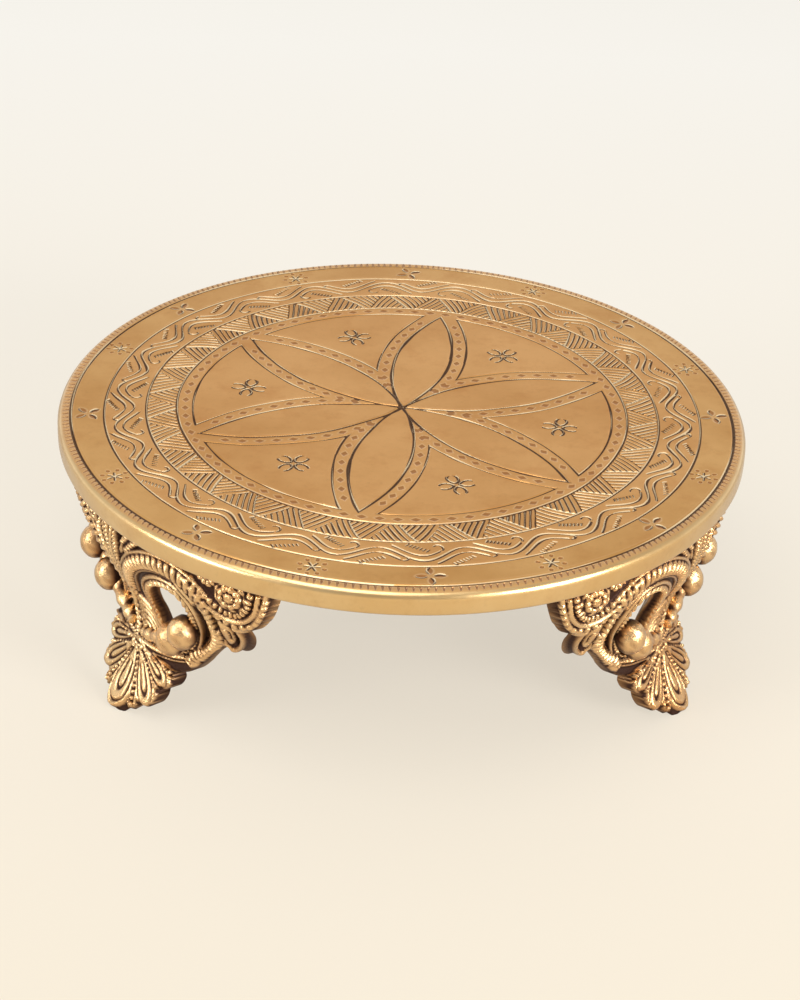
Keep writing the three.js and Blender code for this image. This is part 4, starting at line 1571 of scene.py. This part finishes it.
top_brass = brass("antiqued_brass", (0.92, 0.5, 0.185, 1), (0.79, 0.4, 0.13, 1), 0.36)
rim_brass = brass("olive_brass", (0.91, 0.52, 0.19, 1), (0.77, 0.4, 0.125, 1), 0.34)
edge_brass = brass("brushed_rim_brass", (0.88, 0.62, 0.3, 1), (0.79, 0.51, 0.21, 1), 0.34, 0.8,
                   lacquer=0.8)
raw_brass = brass("cast_underside_brass", (0.5, 0.33, 0.14, 1), (0.34, 0.2, 0.08, 1), 0.52,
                  0.7, 500, 0.0002)
leg_brass = brass("cast_leg_brass", (0.98, 0.68, 0.35, 1), (0.86, 0.47, 0.185, 1), 0.25, 1.5,
                  620, 0.0003, 0.6)
for pieces, material in (((hatched, waved, *field), top_brass), ((rimmed,), rim_brass),
                         ((edge,), edge_brass), ((plate_under,), raw_brass), (legs, leg_brass)):
    for piece in pieces:
        coat_with(piece, material)

# %% [markdown]
# ## Fixings
# The screws and washers are plated steel, and their CAD shapes are already right, so they keep
# them and only get a finish: grey metal, faintly yellow and blue in patches, slightly rough.

# %% Plated steel
steel_tint, blue_tint = (0.5, 0.49, 0.46, 1), (0.42, 0.44, 0.46, 1)
patch_scale, patch_ramp, steel_grain, steel_relief = 260, (0.35, 0.7), 2400, 0.00002
steel_rough, patch_rough, patch_dull = 0.32, 0.12, 0.08


def plated_steel():
    """Zinc plate: a grey that shifts between two tints with noise, and a fine grain."""
    finish = Finish(bpy.data.materials.new("plated_steel"))
    patch = finish.ramp(finish.noise(patch_scale, 3), *patch_ramp)
    colour = finish.blend(patch, steel_tint, blue_tint)
    grain = finish.noise(steel_grain, 2)
    roughness, metallic = steel_rough + patch_rough * patch, 1.0 - patch_dull * patch
    return finish.finish(colour, roughness, metallic, grain, steel_relief)


steel = plated_steel()
for name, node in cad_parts.items():
    if "screw" in name or "washer" in name:
        coat_with(node, steel)

# %% [markdown]
# ## Studio
# Brass needs something to reflect. The world is a pale dome, bright along the horizon, quieter
# halfway up, where the flat top looks, and darker in front, so that every tilted cut stands out
# from it. One large soft lamp hangs above and in front, a little to the left, and two smaller
# ones stand low at the sides, as the two bright stretches along the rim show. The floor is a
# plain warm cream. Its shadow is thin because most of the cream is light of its own, as on a lit
# table from below.

# %% Floor, world and lamps
floor_near, floor_far = (0.845, 0.755, 0.61, 1), (0.965, 0.939, 0.88, 1)
floor_in_brass = (0.2, 0.17, 0.13, 1)
floor_glow, floor_reflected, floor_near_share = 0.7, 0.4, 0.36
floor_half = 3000.0
horizon, halfway, zenith = (0.98, 0.96, 0.92, 1), (0.66, 0.65, 0.62, 1), (0.8, 0.79, 0.77, 1)
upper_dome, dark_front = (0.62, 0.61, 0.59, 1), (0.16, 0.14, 0.12, 1)
backdrop = (0.95, 0.93, 0.88, 1)
dome_stops = (
    (0.0, horizon), (0.16, horizon), (0.34, halfway), (0.7, upper_dome), (1.0, zenith),
)
front_ramp, front_share = (0.3, 0.6), 0.55


def along_axis(finish, axis):
    """One coordinate of the finish's own place."""
    return finish.node("ShaderNodeSeparateXYZ", None, {0: finish.place}, axis)


def floor_piece():
    """A square floor six metres wide, whose colour runs from near to far along Y. Its glow is
    the share of light of its own that the camera sees, and the rest takes the studio's light
    and the shadow. Reflections see only the rest, and see it darker."""
    x, y = np.meshgrid(*2 * [np.linspace(-floor_half, floor_half, 3)], indexing="xy")
    points = np.stack([x, y, np.zeros_like(x)], axis=-1)
    piece = piece_from("studio_floor", points, grid_faces(3, 3, False)[:, ::-1])
    finish = Finish(bpy.data.materials.new("cream_floor"))
    depth = (along_axis(finish, "Y") * 1.0 + floor_near_share).clamped()
    colour = finish.blend(depth, floor_near, floor_far)
    camera_ray = finish.node("ShaderNodeLightPath", output="Is Camera Ray")
    reflected = finish.blend(floor_reflected, colour, floor_in_brass)
    seen = finish.blend(camera_ray, reflected, colour)
    lit = finish.node("ShaderNodeBsdfDiffuse", None, {"Color": seen})
    own = finish.node("ShaderNodeEmission", None, {"Color": colour, "Strength": 1.0})
    mix = {0: camera_ray * floor_glow, 1: lit, 2: own}
    coat_with(piece, finish.show(finish.node("ShaderNodeMixShader", None, mix)))
    return piece


def dome():
    """The world: its strength over the sine of the elevation is a ramp, and what a camera sees
    of it directly is plain pale cream."""
    studio = Finish(bpy.data.worlds.new("studio"), "Generated", "ShaderNodeOutputWorld")
    up = along_axis(studio, "Z")
    light = studio.node("ShaderNodeValToRGB", {"stops": dome_stops}, {0: up})
    behind = studio.ramp(along_axis(studio, "Y") * 0.5 + 0.5, *front_ramp)
    light = studio.blend(behind, studio.blend(front_share, light, dark_front), light)
    camera_ray = studio.node("ShaderNodeLightPath", output="Is Camera Ray")
    colour = studio.blend(camera_ray, light, backdrop)
    return studio.show(studio.node("ShaderNodeBackground", None, {"Color": colour, "Strength": 1.0}))


def soft_lamp(name, place, wide, tall, watts):
    """A rectangular lamp at a place in metres, turned to face the table."""
    data = bpy.data.lights.new(name, "AREA")
    data.shape = "RECTANGLE"
    data.size, data.size_y = wide, tall
    data.energy = watts
    lamp = bpy.data.objects.new(name, data)
    lamp.location = place
    lamp.rotation_euler = (-Vector(place)).to_track_quat("-Z", "Y").to_euler()
    scene.collection.objects.link(lamp)


floor_piece()
scene.world = dome()
soft_lamp("key_lamp", (-0.3, -0.6, 1.25), 1.0, 0.75, 7.0)
soft_lamp("left_lamp", (-1.1, -0.6, 0.5), 0.6, 0.4, 6.5)
soft_lamp("right_lamp", (0.95, -0.85, 0.5), 0.6, 0.4, 14.0)
scene.view_settings.view_transform = "Standard"
